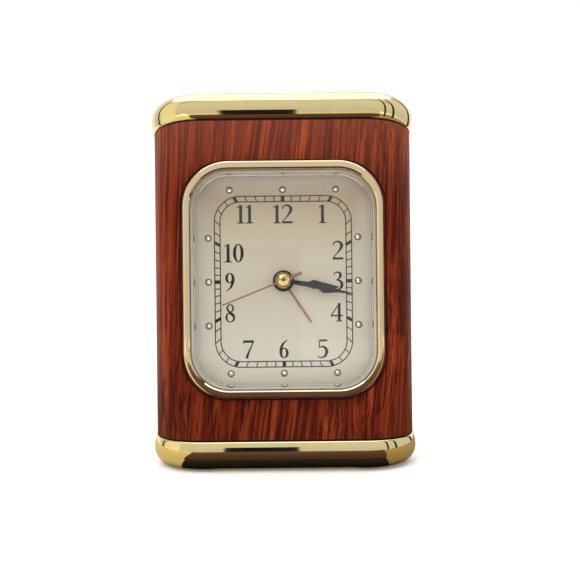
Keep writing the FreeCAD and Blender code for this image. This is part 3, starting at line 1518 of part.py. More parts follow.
# Setting shafts, knobs and the alarm switch
def setting():
    rows = (
        ("time_set", TIME_AT, "time_gear", S.motion_layer,
         meshed("motion_wheel", meshed("cannon_pinion", 0, "motion_wheel", ARBOR_TURNS["motion"]),
                "time_gear", ARBOR_TURNS["time"])),
        ("alarm_set", ALARM_AT, "alarm_gear", S.alarm_layer,
         meshed("alarm_wheel", 0, "alarm_gear", ARBOR_TURNS["alarm"])),
    )
    for key, at, teeth, layer, phase in rows:
        shaft = new_body(f"{key}_shaft")
        start = S.plate_back - S.pivot_depth + S.pivot_end_gap
        end = S.knob_front + S.knob_socket
        tube(shaft, f"{key}_rod", ZERO, S.shaft_radius, start, end)
        toothed(shaft, f"{key}_gear", teeth, S.module_motion, layer, layer + S.wheel_thickness, phase)
        keep(place(shaft, at), f"{key}_shaft")
        knob = new_body(f"{key}_knob")
        end = S.knob_front + S.knob_depth
        socket = S.shaft_radius + S.press_gap
        floor = S.knob_front + S.knob_socket + S.pivot_end_gap
        chamfer = S.knob_edge
        turned(knob, f"{key}_knob_block", [
            (ZERO, floor), (socket, floor), (socket, S.knob_front), (S.knob_radius, S.knob_front),
            (S.knob_radius, end - chamfer), (S.knob_radius - chamfer, end), (ZERO, end),
        ])
        deep, half = S.knob_radius - S.knob_notch_depth, S.knob_notch_half_width
        rim = S.knob_radius + S.knob_notch_depth
        grip = front_cut(
            knob, f"{key}_knob_notch",
            lambda sketch: polygon(sketch, [(deep, ZERO), (rim, -2 * half), (rim, 2 * half)]),
            S.knob_front, end,
        )
        ring = knob.newObject("PartDesign::PolarPattern", f"{key}_knob_grip")
        ring.Originals = [grip]
        ring.Axis = (origin_of(knob, "Y_Axis"), [""])
        ring.Angle = 360
        ring.Occurrences = KNOB_NOTCHES
        knob.Tip = ring
        keep(place(knob, at), f"{key}_knob")


def alarm_switch():
    x0, x1 = S.switch_across - S.switch_half_width, S.switch_across + S.switch_half_width
    up = S.dial_z + S.switch_up
    back = S.cover_front - S.switch_gap
    plate = box(
        "switch_plate", x0, x1, back - S.switch_plate, back, up - S.switch_half_height, up + S.switch_half_height
    )
    stem_x, stem_z = S.switch_stem_half_width, S.switch_stem_half_height
    stem = box(
        "switch_stem", S.switch_across - stem_x, S.switch_across + stem_x, back - S.switch_plate / 2,
        S.cover_back + S.switch_proud, up - stem_z, up + stem_z,
    )
    keep(joined("switch_slider", [plate, stem]), "alarm_switch")
    leaves = []
    for index, step in enumerate((S.leaf_width, -S.leaf_width), start=1):
        x = S.switch_across + step
        leaves.append(box(
            f"leaf_{index}", x - S.leaf_width / 2, x + S.leaf_width / 2, S.gearbox_back + S.seat_gap,
            S.gearbox_back + S.seat_gap + S.leaf_thickness, up - S.switch_half_height, up + S.leaf_width,
        ))
        leaves.append(box(
            f"leaf_{index}_riser", x - S.leaf_width / 2, x + S.leaf_width / 2, S.gearbox_back + S.seat_gap,
            back - S.switch_plate - 2 * S.switch_gap - S.rail_wall, up + S.leaf_width - S.leaf_thickness,
            up + S.leaf_width,
        ))
    springs = [joined("leaf_spring_1", leaves[:2]), joined("leaf_spring_2", leaves[2:])]
    keep(grouped("leaf_springs", springs), "alarm_contact_spring")


def buzzer():
    x, z = -S.buzzer_across, S.dial_z + S.buzzer_up
    back = S.cover_front - S.seat_gap
    can = cylinder("buzzer_can", S.buzzer_radius, S.buzzer_height, x, back - S.buzzer_height, z)
    mouth = cylinder("buzzer_mouth", S.buzzer_mouth_radius, S.buzzer_height / 2,
                     x, back - S.buzzer_height / 2, z)
    keep(cut_from("buzzer_body", can, [mouth]), "buzzer")


# Electrics
def electrics():
    x, z = ROTOR_AT
    hole = S.magnet_radius + S.stator_gap
    pole = hole + 2 * S.stator_bar_half
    stator = new_body("stator")
    y0, y1 = S.stator_layer, S.stator_layer + S.stator_thickness
    bar = S.stator_bar_half
    outer_left, outer_right = S.coil_left - S.coil_cheek, S.coil_right + S.coil_cheek
    top = S.coil_up + bar
    front_pad(stator, "stator_pole", lambda sketch: circle(sketch, x, z, pole), y0, y1, z=S.dial_z)
    front_pad(
        stator, "stator_left",
        lambda sketch: polygon(sketch, [
            (outer_left - 2 * bar, top), (outer_left - 2 * bar, S.coil_up - 2 * S.coil_cheek_radius), (x - pole + bar, z - bar),
            (x - pole + 3 * bar, z + 3 * bar), (outer_left, S.coil_up - S.coil_cheek_radius), (outer_left, top),
        ]),
        y0, y1, z=S.dial_z,
    )
    front_pad(
        stator, "stator_right",
        lambda sketch: polygon(sketch, [
            (outer_right + 2 * bar, top), (outer_right, top), (outer_right, S.coil_up - S.coil_cheek_radius),
            (x + pole - 3 * bar, z + 3 * bar), (x + pole - bar, z - bar),
            (outer_right + 2 * bar, S.coil_up - 2 * S.coil_cheek_radius),
        ]),
        y0, y1, z=S.dial_z,
    )
    front_pad(
        stator, "stator_core",
        lambda sketch: rectangle(sketch, outer_left - bar, outer_right + bar, S.coil_up - bar, S.coil_up + bar),
        y0, y1, z=S.dial_z,
    )
    front_cut(stator, "stator_hole", lambda sketch: circle(sketch, x, z, hole), y0, y1, z=S.dial_z)
    keep(stator, "stator")
    along_x = Vector(1, 0, 0)
    middle = S.stator_layer + S.stator_thickness / 2
    up = S.dial_z + S.coil_up
    length = S.coil_right - S.coil_left
    tube_radius = S.bobbin_radius + S.bobbin_wall

    def rod(name, radius, start, run):
        return cylinder(name, radius, run, start, middle, up, along_x)

    bobbin = joined("bobbin_body", [
        rod("bobbin_tube", tube_radius, S.coil_left, length),
        rod("bobbin_left", S.coil_cheek_radius, S.coil_left, S.coil_cheek),
        rod("bobbin_right", S.coil_cheek_radius, S.coil_right - S.coil_cheek, S.coil_cheek),
    ])
    keep(cut_from("bobbin_with_bore", bobbin, [rod("bobbin_bore", S.bobbin_radius, S.coil_left, length)]), "coil_bobbin")
    start = S.coil_left + S.coil_cheek + S.seat_gap
    run = length - 2 * (S.coil_cheek + S.seat_gap)
    keep(cut_from("winding_ring", rod("winding_rod", S.coil_radius, start, run),
                  [rod("winding_bore", tube_radius + S.seat_gap, start, run)]), "coil_winding")
    board = box("board", -S.board_left, -S.board_right, S.board_front, S.board_back,
                S.dial_z + S.board_low, S.dial_z + S.board_high)
    keep(board, "circuit_board")
    front = S.board_front - S.seat_gap
    half = S.chip_half
    chip_z = S.dial_z + S.chip_up
    keep(box("chip", -S.chip_left - half, -S.chip_left + half, front - S.chip_height, front,
             chip_z - half, chip_z + half), "driver_chip")
    can = cylinder("can", S.can_radius, S.can_length, -S.can_left, front - S.can_radius, S.dial_z + S.can_up,
                   along_x)
    keep(can, "quartz_can")


for build in (
    wood_sleeve, lambda: cap("top_cap", True), lambda: cap("bottom_cap", False), base_felt, tie_rods,
    front_bezel, crystal, dial_surround, dial_plate, hour_studs, inner_frame, back_cover, screws, battery_door,
    movement_front_plate, movement_mid_plate, movement_housing, battery_cell, contacts, seconds_train,
    pipes_and_motion, hands, setting, alarm_switch, buzzer, electrics,
):
    build()
doc.recompute()

problems = [thing.Name for thing in doc.Objects if "Invalid" in thing.State or "Error" in thing.State]
for piece in pieces:
    if piece.Shape.isNull() or not piece.Shape.isValid():
        problems.append(piece.Label)
if problems:
    raise RuntimeError(f"these did not build: {', '.join(problems)}")

os.makedirs("parts", exist_ok=True)
for piece in pieces:
    piece.Shape.exportStep(f"parts/{piece.Label}.step")
print(f"{len(pieces)} pieces written")
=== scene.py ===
import json
import math

import bmesh
import bpy
from mathutils import Matrix, Vector


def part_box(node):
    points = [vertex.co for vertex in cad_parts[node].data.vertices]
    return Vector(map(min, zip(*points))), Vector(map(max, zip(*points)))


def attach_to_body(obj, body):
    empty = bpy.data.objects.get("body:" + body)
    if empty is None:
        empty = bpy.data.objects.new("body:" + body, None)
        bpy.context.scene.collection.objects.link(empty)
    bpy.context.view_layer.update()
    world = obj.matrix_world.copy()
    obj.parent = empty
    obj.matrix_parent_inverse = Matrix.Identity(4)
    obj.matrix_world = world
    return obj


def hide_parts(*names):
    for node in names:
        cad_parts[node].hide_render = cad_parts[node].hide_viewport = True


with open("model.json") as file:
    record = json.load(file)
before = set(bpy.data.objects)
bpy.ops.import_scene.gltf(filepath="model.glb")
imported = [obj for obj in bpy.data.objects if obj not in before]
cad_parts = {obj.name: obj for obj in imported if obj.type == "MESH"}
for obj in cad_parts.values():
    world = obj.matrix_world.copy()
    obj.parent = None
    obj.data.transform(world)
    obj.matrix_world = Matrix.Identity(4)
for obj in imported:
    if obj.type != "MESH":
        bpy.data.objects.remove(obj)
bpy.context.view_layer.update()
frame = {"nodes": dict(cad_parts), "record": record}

MM = 0.001

# Places and sizes of the clock, in millimetres, as the model has them
DIAL_MIDDLE = 54.75
DIAL_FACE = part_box("dial_plate")[0].y / MM
WOOD_LOW, WOOD_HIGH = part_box("wood_sleeve")
WOOD_FRONT = WOOD_LOW.y / MM
WOOD_TOP = WOOD_HIGH.z / MM
WOOD_BOTTOM = WOOD_LOW.z / MM
END_RADIUS = -WOOD_FRONT
STRAIGHT_HALF = WOOD_HIGH.x / MM - END_RADIUS
CAP_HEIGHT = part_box("top_cap")[1].z / MM - WOOD_TOP
BUTTON_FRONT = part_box("hand_button")[0].y / MM
BEZEL_HALF = (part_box("front_bezel")[1].x / MM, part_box("front_bezel")[1].z / MM - DIAL_MIDDLE)
BEZEL_CORNER = 12.9

# The caps, in millimetres: a small round edge at the wood, a swell, a round and a flat end
CAP_EDGE = 1.0
CAP_SWELL = 0.85
CAP_SWELL_RISE = 3.75
CAP_FLAT_INSET = 0.3

# Joints between the pieces, dark with painted shadow, in millimetres
SEAM_SHADOW_HEIGHT = 0.32
SEAM_SHADOW_PROUD = 0.05
SEAM_SHADOW_DEPTH = 0.4
BEZEL_SHADOW = 0.2
BEZEL_SHADOW_PROUD = 0.07
BEZEL_SHADOW_SUNK = 0.02

# Print on the dial, in millimetres; the track's outer line has a half width, a half height and a corner
INK_THICKNESS = 0.03
INK_SUNK = 0.01
INK_STEP = 0.0015
TRACK_OUTER = (20.33, 25.3, 7.8)
TRACK_WIDTH = 1.95
TRACK_LINE = 0.31
MINUTE_TICK = 0.29
HOUR_TICK = 0.9
QUARTER_TICK = 1.05
NUMERAL_HEIGHT = 5.46
NUMERAL_WEIGHT_SHARE = 1.16
DIGIT_GAP_SHARE = 0.05

# Studs at the hours and the centre of the hand button, in millimetres
STUD_DOME = 0.74
STUD_RISE = 0.46
# The dark rim round each stud is a painted shadow
STUD_SHADOW_RIM = 0.9
STUD_SHADOW_RIM_BEAD = 0.14
ROW_UP = 27.03
ROW_STEP = 15.64
COLUMN_ACROSS = 22.04
COLUMN_STEP = 12.9
STUD_PLACES = [
    (0.0, ROW_UP), (ROW_STEP, ROW_UP),
    (COLUMN_ACROSS, COLUMN_STEP), (COLUMN_ACROSS, 0.0), (COLUMN_ACROSS, -COLUMN_STEP),
    (ROW_STEP, -ROW_UP), (0.0, -ROW_UP), (-ROW_STEP, -ROW_UP),
    (-COLUMN_ACROSS, -COLUMN_STEP), (-COLUMN_ACROSS, 0.0), (-COLUMN_ACROSS, COLUMN_STEP),
    (-ROW_STEP, ROW_UP),
]
# A dark dot in the centre of the hand button: a painted reflection of the camera
REFLECTION_DOT_RADIUS = 0.44
REFLECTION_DOT_PROUD = 0.02
REFLECTION_DOT_DEPTH = 0.4

# Colours of a display, 0 to 255 a channel, and the curve that they follow
DISPLAY_WHITE = 255
DISPLAY_TOE_SHARE = 0.04045
DISPLAY_TOE_SLOPE = 12.92
DISPLAY_OFFSET_SHARE = 0.055
DISPLAY_POWER = 2.4
WHITE = (1.0, 1.0, 1.0, 1.0)


def paint(red, green, blue):
    """A display colour, 0 to 255 a channel, as the linear colour that a shader takes."""
    channels = []
    for value in (red, green, blue):
        share = value / DISPLAY_WHITE
        if share <= DISPLAY_TOE_SHARE:
            channels.append(share / DISPLAY_TOE_SLOPE)
        else:
            lifted = (share + DISPLAY_OFFSET_SHARE) / (1.0 + DISPLAY_OFFSET_SHARE)
            channels.append(lifted ** DISPLAY_POWER)
    return (*channels, 1.0)


def shaded(colour, share):
    """The colour, darker or lighter by a share."""
    return (*(min(1.0, channel * share) for channel in colour[:3]), 1.0)


def set_stops(ramp, stops):
    """Gives a colour ramp its stops of (place, colour), where a number stands for that grey."""
    elements = ramp.color_ramp.elements
    while len(elements) < len(stops):
        elements.new(1.0)
    for element, (place, colour) in zip(elements, stops):
        element.position = place
        element.color = colour if isinstance(colour, tuple) else (colour, colour, colour, 1.0)


# Finishes; a pattern of noise mostly keeps between the low and the high share
PATTERN_LOW_SHARE = 0.3
PATTERN_HIGH_SHARE = 0.7
NOISE_VALUE = 0
NOISE_COLOUR = 1


class Finish:
    """One surface finish: its Principled shader and the nodes that vary it over the piece."""

    def __init__(self, name, **sockets):
        self.material = bpy.data.materials.new(name)
        self.material.use_nodes = True
        self.tree = self.material.node_tree
        self.shader = self.tree.nodes["Principled BSDF"]
        self.place = self.tree.nodes.new("ShaderNodeTexCoord").outputs["Object"]
        for label, value in sockets.items():
            self.shader.inputs[label.replace("_", " ")].default_value = value

    def node(self, kind, *links, **settings):
        """Adds a node, sets its own settings and feeds its inputs in order."""
        made = self.tree.nodes.new(kind)
        for label, value in settings.items():
            setattr(made, label, value)
        for index, source in enumerate(links):
            if source is None:
                continue
            if isinstance(source, bpy.types.NodeSocket):
                self.tree.links.new(source, made.inputs[index])
            else:
                made.inputs[index].default_value = source
        return made

    def stretched(self, steps, place=None):
        """The place on the piece, in pattern steps per millimetre, alike or along each axis."""
        along = steps if isinstance(steps, tuple) else (steps, steps, steps)
        scale = tuple(count / MM for count in along)
        return self.node("ShaderNodeMapping", place or self.place, None, None, scale).outputs[0]

    def noise(self, steps, detail=2.0, roughness=0.5, place=None, output=NOISE_VALUE):
        made = self.node("ShaderNodeTexNoise", self.stretched(steps, place))
        made.inputs["Scale"].default_value = 1.0
        made.inputs["Detail"].default_value = detail
        made.inputs["Roughness"].default_value = roughness
        return made.outputs[output]

    def ramp(self, source, *stops):
        made = self.node("ShaderNodeValToRGB", source)
        set_stops(made, stops)
        return made.outputs[0]

    def span(self, source, from_low, from_high, to_low, to_high):
        return self.node("ShaderNodeMapRange", source, from_low, from_high, to_low, to_high).outputs[0]

    def mixed(self, share, first, second, blend="MIX"):
        return self.node("ShaderNodeMixRGB", share, first, second, blend_type=blend).outputs[0]

    def worked(self, operation, first, second=0.0):
        return self.node("ShaderNodeMath", first, second, operation=operation).outputs[0]

    def along(self, axis):
        """How far along an axis the place lies, in metres."""
        return self.node("ShaderNodeSeparateXYZ", self.place).outputs[axis]

    def coloured(self, source):
        self.tree.links.new(source, self.shader.inputs["Base Color"])
        return self

    def tinted(self, pattern, low, high):
        """Base colour from the low to the high one over a pattern."""
        return self.coloured(self.ramp(pattern, (PATTERN_LOW_SHARE, low), (PATTERN_HIGH_SHARE, high)))

    def roughened(self, pattern, low, high):
        """Roughness from low to high over a pattern."""
        spread = self.span(pattern, PATTERN_LOW_SHARE, PATTERN_HIGH_SHARE, low, high)
        self.tree.links.new(spread, self.shader.inputs["Roughness"])
        return self

    def raised(self, source, depth, strength):
        """Bump from a pattern, depth in millimetres."""
        bump = self.node("ShaderNodeBump", strength)
        bump.inputs["Distance"].default_value = depth * MM
        self.tree.links.new(source, bump.inputs["Height"])
        self.tree.links.new(bump.outputs[0], self.shader.inputs["Normal"])
        return self


# Wood: lean in degrees, wander and heights in millimetres, steps per millimetre across, deep and up
GRAIN_LEAN = -4.5
GRAIN_WANDER = 9.0
SWAY_STEPS = (0.022, 0.022, 0.012)
BAND_STEPS = (0.34, 0.34, 0.007)
CLOUD_STEPS = (0.03, 0.03, 0.02)
CLOUD_SHARE = 0.6
WOOD_TONES = (
    (0.32, paint(86, 25, 8)),
    (0.44, paint(112, 38, 14)),
    (0.56, paint(136, 52, 22)),
    (0.70, paint(160, 70, 34)),
)
CLOUD_TONES = ((0.34, paint(196, 180, 186)), (0.66, WHITE))

# Marks over those tones: steps, detail, where one begins and is full, the share it covers, its colour
WOOD_MARKS = {
    "lines": ((0.9, 0.9, 0.011), 3.0, (0.52, 0.59), 0.82, paint(58, 15, 6)),
    "hairs": ((2.5, 2.5, 0.03), 2.0, (0.53, 0.62), 0.74, paint(46, 10, 4)),
    "pores": ((3.8, 3.8, 0.14), 1.0, (0.60, 0.70), 0.75, paint(26, 5, 2)),
}

# Painted sheen to the top and painted shade to the foot: where each begins and ends, its share at the end,
# its colour
WOOD_PAINTED_SHEEN_AND_SHADE = (
    (78.0, WOOD_TOP, 0.1, paint(206, 132, 112)),
    (36.0, WOOD_BOTTOM, 0.26, paint(40, 8, 3)),
)


def lacquered_wood():
    """Straight reddish-brown grain under a clear lacquer, leaning and wandering a little up the case, with
    a painted sheen towards the top and painted shade towards the foot.
    """
    finish = Finish("lacquered_wood", Specular_IOR_Level=0.04, Coat_Weight=0.02, Coat_Roughness=0.16)
    lean = (0.0, math.radians(GRAIN_LEAN), 0.0)
    leaning = finish.node("ShaderNodeMapping", finish.place, None, lean).outputs[0]
    sway = finish.noise(SWAY_STEPS, detail=1.0, output=NOISE_COLOUR)
    wander_by = (GRAIN_WANDER * MM, GRAIN_WANDER * MM, 0.0)
    wander = finish.node("ShaderNodeVectorMath", sway, wander_by, leaning,
                         operation="MULTIPLY_ADD").outputs[0]
    bands = finish.noise(BAND_STEPS, detail=4.0, roughness=0.55, place=wander)
    tone = finish.ramp(bands, *WOOD_TONES)
    marks = {}
    for name, (steps, detail, (begin, full), cover_share, colour) in WOOD_MARKS.items():
        marks[name] = finish.noise(steps, detail=detail, place=wander)
        cover = finish.ramp(marks[name], (begin, 0.0), (full, cover_share))
        tone = finish.mixed(cover, tone, colour)
    clouds = finish.noise(CLOUD_STEPS, detail=1.0)
    tone = finish.mixed(CLOUD_SHARE, tone, finish.ramp(clouds, *CLOUD_TONES), blend="MULTIPLY")
    height = finish.along("Z")
    # Painted sheen lightens the top of the case and painted shade darkens its foot
    for begin, end, end_share, colour in WOOD_PAINTED_SHEEN_AND_SHADE:
        tone = finish.mixed(finish.span(height, begin * MM, end * MM, 0.0, end_share), tone, colour)
    finish.coloured(tone)
    finish.roughened(marks["lines"], low=0.36, high=0.5)
    closed_pores = finish.worked("SUBTRACT", 1.0, marks["pores"])
    return finish.raised(closed_pores, depth=0.02, strength=0.3).material


def polished_gold(name, colour, rough):
    """Gold-coloured plating with the faint waviness and haze of a buffed surface."""
    finish = Finish(name, Metallic=1.0)
    haze = finish.noise(steps=0.5, detail=4.0)
    wave = finish.noise(steps=0.09, detail=1.0)
    finish.coloured(finish.ramp(haze, (0.35, shaded(colour, share=0.97)), (0.65, colour)))
    finish.roughened(haze, *rough)
    return finish.raised(wave, depth=0.006, strength=0.2).material


# Dial: heights over and under its middle where a tone of its painted reflection ends, half its size, its
# paler rim of painted reflection and its brushing
DIAL_TAN_REFLECTION_RISE = 28.0
DIAL_IVORY_REFLECTION_DROP = 18.0
DIAL_HALF = (26.5, 31.3)
DIAL_PAINTED_REFLECTION_TONES = ((0.0, paint(196, 174, 138)), (0.45, paint(230, 219, 194)), (1.0, paint(238, 233, 215)))
DIAL_RIM_REFLECTION_FROM_SHARE = 0.78
DIAL_RIM_REFLECTION_SHARE = 0.6
DIAL_RIM_PAINTED_REFLECTION = paint(244, 237, 228)
DIAL_BRUSH_STEPS = (6.0, 6.0, 0.25)
DIAL_BRUSH_SHARE = 0.18
DIAL_BRUSH_TONES = ((PATTERN_LOW_SHARE, 0.82), (PATTERN_HIGH_SHARE, 1.0))


def satin_dial():
    """Champagne dial, finely brushed, with a painted reflection: tan at the top, ivory lower down, paler
    round its edge.
    """
    finish = Finish("satin_dial", Metallic=0.25)
    height = finish.along("Z")
    top = (DIAL_MIDDLE + DIAL_TAN_REFLECTION_RISE) * MM
    bottom = (DIAL_MIDDLE - DIAL_IVORY_REFLECTION_DROP) * MM
    # Painted reflection: tan towards the top, ivory lower down
    face = finish.ramp(finish.span(height, top, bottom, 0.0, 1.0), *DIAL_PAINTED_REFLECTION_TONES)
    offsets = (finish.along("X"), finish.worked("SUBTRACT", height, DIAL_MIDDLE * MM))
    shares = [
        finish.worked("DIVIDE", finish.worked("ABSOLUTE", offset), half * MM)
        for offset, half in zip(offsets, DIAL_HALF)
    ]
    # Painted reflection: paler round the dial's edge
    rim = finish.span(finish.worked("MAXIMUM", *shares), DIAL_RIM_REFLECTION_FROM_SHARE, 1.0, 0.0, DIAL_RIM_REFLECTION_SHARE)
    face = finish.mixed(rim, face, DIAL_RIM_PAINTED_REFLECTION)
    brushing = finish.noise(DIAL_BRUSH_STEPS, detail=3.0)
    face = finish.mixed(DIAL_BRUSH_SHARE, face, finish.ramp(brushing, *DIAL_BRUSH_TONES), blend="MULTIPLY")
    finish.coloured(face)
    finish.roughened(brushing, low=0.36, high=0.46)
    return finish.raised(brushing, depth=0.004, strength=0.5).material


def clear_crystal():
    """Clear moulded acrylic."""
    finish = Finish("clear_crystal", Base_Color=WHITE, Roughness=0.0, IOR=1.49, Transmission_Weight=1.0,
                    Specular_IOR_Level=0.05)
    ripple = finish.noise(steps=0.05, detail=1.0)
    return finish.raised(ripple, depth=0.004, strength=0.1).material


def printed_ink():
    finish = Finish("printed_ink", Roughness=0.45, Specular_IOR_Level=0.1)
    fleck = finish.noise(steps=3.0)
    finish.tinted(fleck, paint(12, 7, 2), paint(26, 17, 8))
    return finish.roughened(fleck, low=0.38, high=0.5).material


def moulded(name, colour, rough=(0.38, 0.52), grain=0.006):
    """Moulded plastic with a fine spark-eroded texture and uneven gloss."""
    finish = Finish(name)
    stipple = finish.noise(steps=4.0, detail=3.0)
    flow = finish.noise(steps=0.12)
    finish.tinted(flow, shaded(colour, share=0.82), colour)
    finish.roughened(stipple, *rough)
    return finish.raised(stipple, grain, strength=0.5).material


def metal(name, colour, rough, steps):
    """Bare or plated metal, its marks drawn out along the axis that has the fewest steps."""
    finish = Finish(name, Metallic=1.0)
    marks = finish.noise(steps, detail=4.0)
    finish.tinted(marks, shaded(colour, share=0.75), colour)
    finish.roughened(marks, *rough)
    return finish.raised(marks, depth=0.004, strength=0.4).material


def painted(name, colour, rough, metallic=0.0):
    """Thin satin paint on stamped metal."""
    finish = Finish(name, Metallic=metallic, Specular_IOR_Level=0.15)
    orange_peel = finish.noise(steps=1.8)
    finish.tinted(orange_peel, colour, shaded(colour, share=1.35))
    finish.roughened(orange_peel, *rough)
    return finish.raised(orange_peel, depth=0.003, strength=0.4).material


def felted():
    finish = Finish("dark_felt", Roughness=0.95, Sheen_Weight=0.5, Sheen_Roughness=0.6)
    fibres = finish.noise(steps=3.5, detail=5.0, roughness=0.75)
    finish.tinted(fibres, paint(22, 34, 26), paint(52, 68, 56))
    return finish.raised(fibres, depth=0.12, strength=0.8).material


WIRE_STEPS = 1.2
WIRE_SWAY = 0.4


def wound_wire():
    """Fine enamelled copper wire, its turns lying side by side, each painted dark in its groove as shade
    and bright on its crown as a highlight.
    """
    finish = Finish("wound_wire", Metallic=0.9, Coat_Weight=0.6, Coat_Roughness=0.1)
    turns = finish.node("ShaderNodeTexWave", finish.stretched(WIRE_STEPS), 1.0, WIRE_SWAY,
                        wave_type="BANDS", bands_direction="X").outputs[1]
    # Painted shade in the grooves and painted highlight on the crowns of the turns
    finish.coloured(finish.ramp(turns, (0.2, paint(96, 44, 20)), (0.8, paint(206, 122, 70))))
    finish.roughened(turns, low=0.25, high=0.4)
    return finish.raised(turns, depth=0.05, strength=0.8).material


BOARD_STEPS = 0.4


def solder_masked():
    """Green board with the faint relief of its tracks under the mask."""
    finish = Finish("solder_masked_board", Coat_Weight=0.4, Coat_Roughness=0.15)
    tracks = finish.node("ShaderNodeTexBrick", finish.stretched(BOARD_STEPS)).outputs[1]
    finish.coloured(finish.mixed(tracks, paint(38, 104, 58), paint(22, 78, 40)))
    finish.roughened(tracks, low=0.3, high=0.42)
    return finish.raised(tracks, depth=0.02, strength=0.5).material


CELL_END_FROM = 9.0
CELL_END_BLUR = 0.4


def cell_sleeve():
    """Shrunk sleeve on the battery cell: dark, with one copper-coloured end."""
    finish = Finish("cell_sleeve", Coat_Weight=0.5, Coat_Roughness=0.08)
    end = finish.span(finish.along("X"), CELL_END_FROM * MM, (CELL_END_FROM + CELL_END_BLUR) * MM, 0.0, 1.0)
    finish.coloured(finish.mixed(end, paint(44, 50, 66), paint(186, 128, 72)))
    scuffs = finish.noise(steps=0.8, detail=4.0)
    return finish.roughened(scuffs, low=0.25, high=0.4).material


GOLD = polished_gold("polished_gold", paint(230, 213, 160), rough=(0.03, 0.06))
STUD_GOLD = polished_gold("stud_gold", paint(240, 230, 204), rough=(0.12, 0.2))
# Dark rim round each stud: a painted shadow
STUD_SHADOW_RIM_FINISH = painted("stud_painted_shadow_rim", paint(84, 70, 48), rough=(0.4, 0.5), metallic=0.4)
INK = printed_ink()
# Dark dot in the hand button: a painted reflection of the camera
REFLECTION_DOT_FINISH = painted("painted_camera_reflection", paint(58, 34, 16), rough=(0.4, 0.5))
# Painted shadow in the joints round the caps and the bezel
JOINT_SHADOW = painted("joint_painted_shadow", paint(20, 11, 8), rough=(0.5, 0.65))
NODE_FINISHES = {
    "hand_button": polished_gold("polished_brass", paint(216, 184, 120), rough=(0.05, 0.09)),
    "front_bezel": polished_gold("bezel_gold", paint(226, 208, 172), rough=(0.04, 0.08)),
}
FINISHES = {
    "wood": lacquered_wood(),
    "gold": GOLD,
    "gold_satin": STUD_GOLD,
    "crystal": clear_crystal(),
    "dial": satin_dial(),
    "surround": moulded("champagne_surround", paint(206, 198, 186), rough=(0.4, 0.5)),
    "black_hand": painted("black_hand", paint(25, 21, 16), rough=(0.34, 0.46)),
    "copper_hand": painted("copper_hand", paint(166, 124, 104), rough=(0.34, 0.46)),
    "frame_plastic": moulded("frame_plastic", paint(200, 198, 190)),
    "black_plastic": moulded("black_plastic", paint(30, 30, 31), rough=(0.42, 0.6), grain=0.02),
    "knob_plastic": moulded("knob_plastic", paint(44, 44, 46), rough=(0.22, 0.34)),
    "switch_plastic": moulded("switch_plastic", paint(222, 219, 208), rough=(0.3, 0.42)),
    "felt": felted(),
    "steel": metal("plated_steel", paint(196, 196, 198), rough=(0.22, 0.38), steps=(2.5, 2.5, 0.3)),
    "gear_white": moulded("acetal", paint(236, 234, 226), rough=(0.3, 0.4)),
    "gear_brass": metal("cut_brass", paint(206, 172, 92), rough=(0.2, 0.35), steps=(3.0, 0.4, 3.0)),
    "magnet": metal("sintered_magnet", paint(92, 92, 96), rough=(0.45, 0.6), steps=5.0),
    "copper_wire": wound_wire(),
    "board": solder_masked(),
    "chip": moulded("black_resin", paint(20, 20, 21), rough=(0.3, 0.45)),
    "cell_wrap": cell_sleeve(),
}


# Making pieces; distances at which points merge are in metres, angles are those of a sharp edge
PIECE_MERGE = 1e-7
PIECE_EDGE = math.radians(30.0)
MODEL_MERGE = 1e-6
MODEL_EDGE = math.radians(32.0)
UP = 1.0
DOWN = -1.0


def keep(obj, body, slot, *nodes):
    """Sets a finished piece on its body and hides the nodes that it stands for; the slot is not used."""
    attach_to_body(obj, body)
    if nodes:
        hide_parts(*nodes)


def added(name, data):
    """A new object in the scene."""
    obj = bpy.data.objects.new(name, data)
    bpy.context.scene.collection.objects.link(obj)
    return obj


def mesh_of(name, points, faces):
    """A mesh from points in millimetres."""
    mesh = bpy.data.meshes.new(name)
    mesh.from_pydata([[value * MM for value in point] for point in points], [], faces)
    return mesh


def piece(name, points, faces, material, smooth_from=None):
    """A mesh object from points in millimetres, merged, with its faces turned outwards."""
    mesh = mesh_of(name, points, faces)
    work = bmesh.new()
    work.from_mesh(mesh)
    bmesh.ops.remove_doubles(work, verts=work.verts, dist=PIECE_MERGE)
    bmesh.ops.recalc_face_normals(work, faces=work.faces)
    if smooth_from is not None:
        for face in work.faces:
            face.smooth = True
        for edge in work.edges:
            edge.smooth = len(edge.link_faces) == 2 and edge.calc_face_angle() < smooth_from
    work.to_mesh(mesh)
    work.free()
    mesh.materials.append(material)
    return added(name, mesh)


def skin(first, rows, around, closed=False):
    """Faces between rows of points, each a loop; the last row meets the first, or both ends are faces."""
    faces = []
    for row in range(rows if closed else rows - 1):
        here = first + row * around
        there = first + (row + 1) % rows * around
        for count in range(around):
            following = (count + 1) % around
            faces.append((here + count, here + following, there + following, there + count))
    if not closed:
        last = first + (rows - 1) * around
        faces.append(tuple(range(first, first + around)))
        faces.append(tuple(range(last, last + around)))
    return faces


def turns_of(steps):
    """The angles of a full turn in even steps."""
    return [2 * math.pi * count / steps for count in range(steps)]


def input_names(tree):
    return {
        item.name: item.identifier
        for item in tree.interface.items_tree
        if item.item_type == "SOCKET" and item.in_out == "INPUT"
    }


def new_tree(name, *sizes):
    """A geometry tree with a geometry input and output and named number inputs."""
    tree = bpy.data.node_groups.new(name, "GeometryNodeTree")
    tree.interface.new_socket("Geometry", in_out="INPUT", socket_type="NodeSocketGeometry")
    for label in sizes:
        tree.interface.new_socket(label, in_out="INPUT", socket_type="NodeSocketFloat")
    tree.interface.new_socket("Geometry", in_out="OUTPUT", socket_type="NodeSocketGeometry")
    return tree, tree.nodes.new("NodeGroupInput"), tree.nodes.new("NodeGroupOutput")


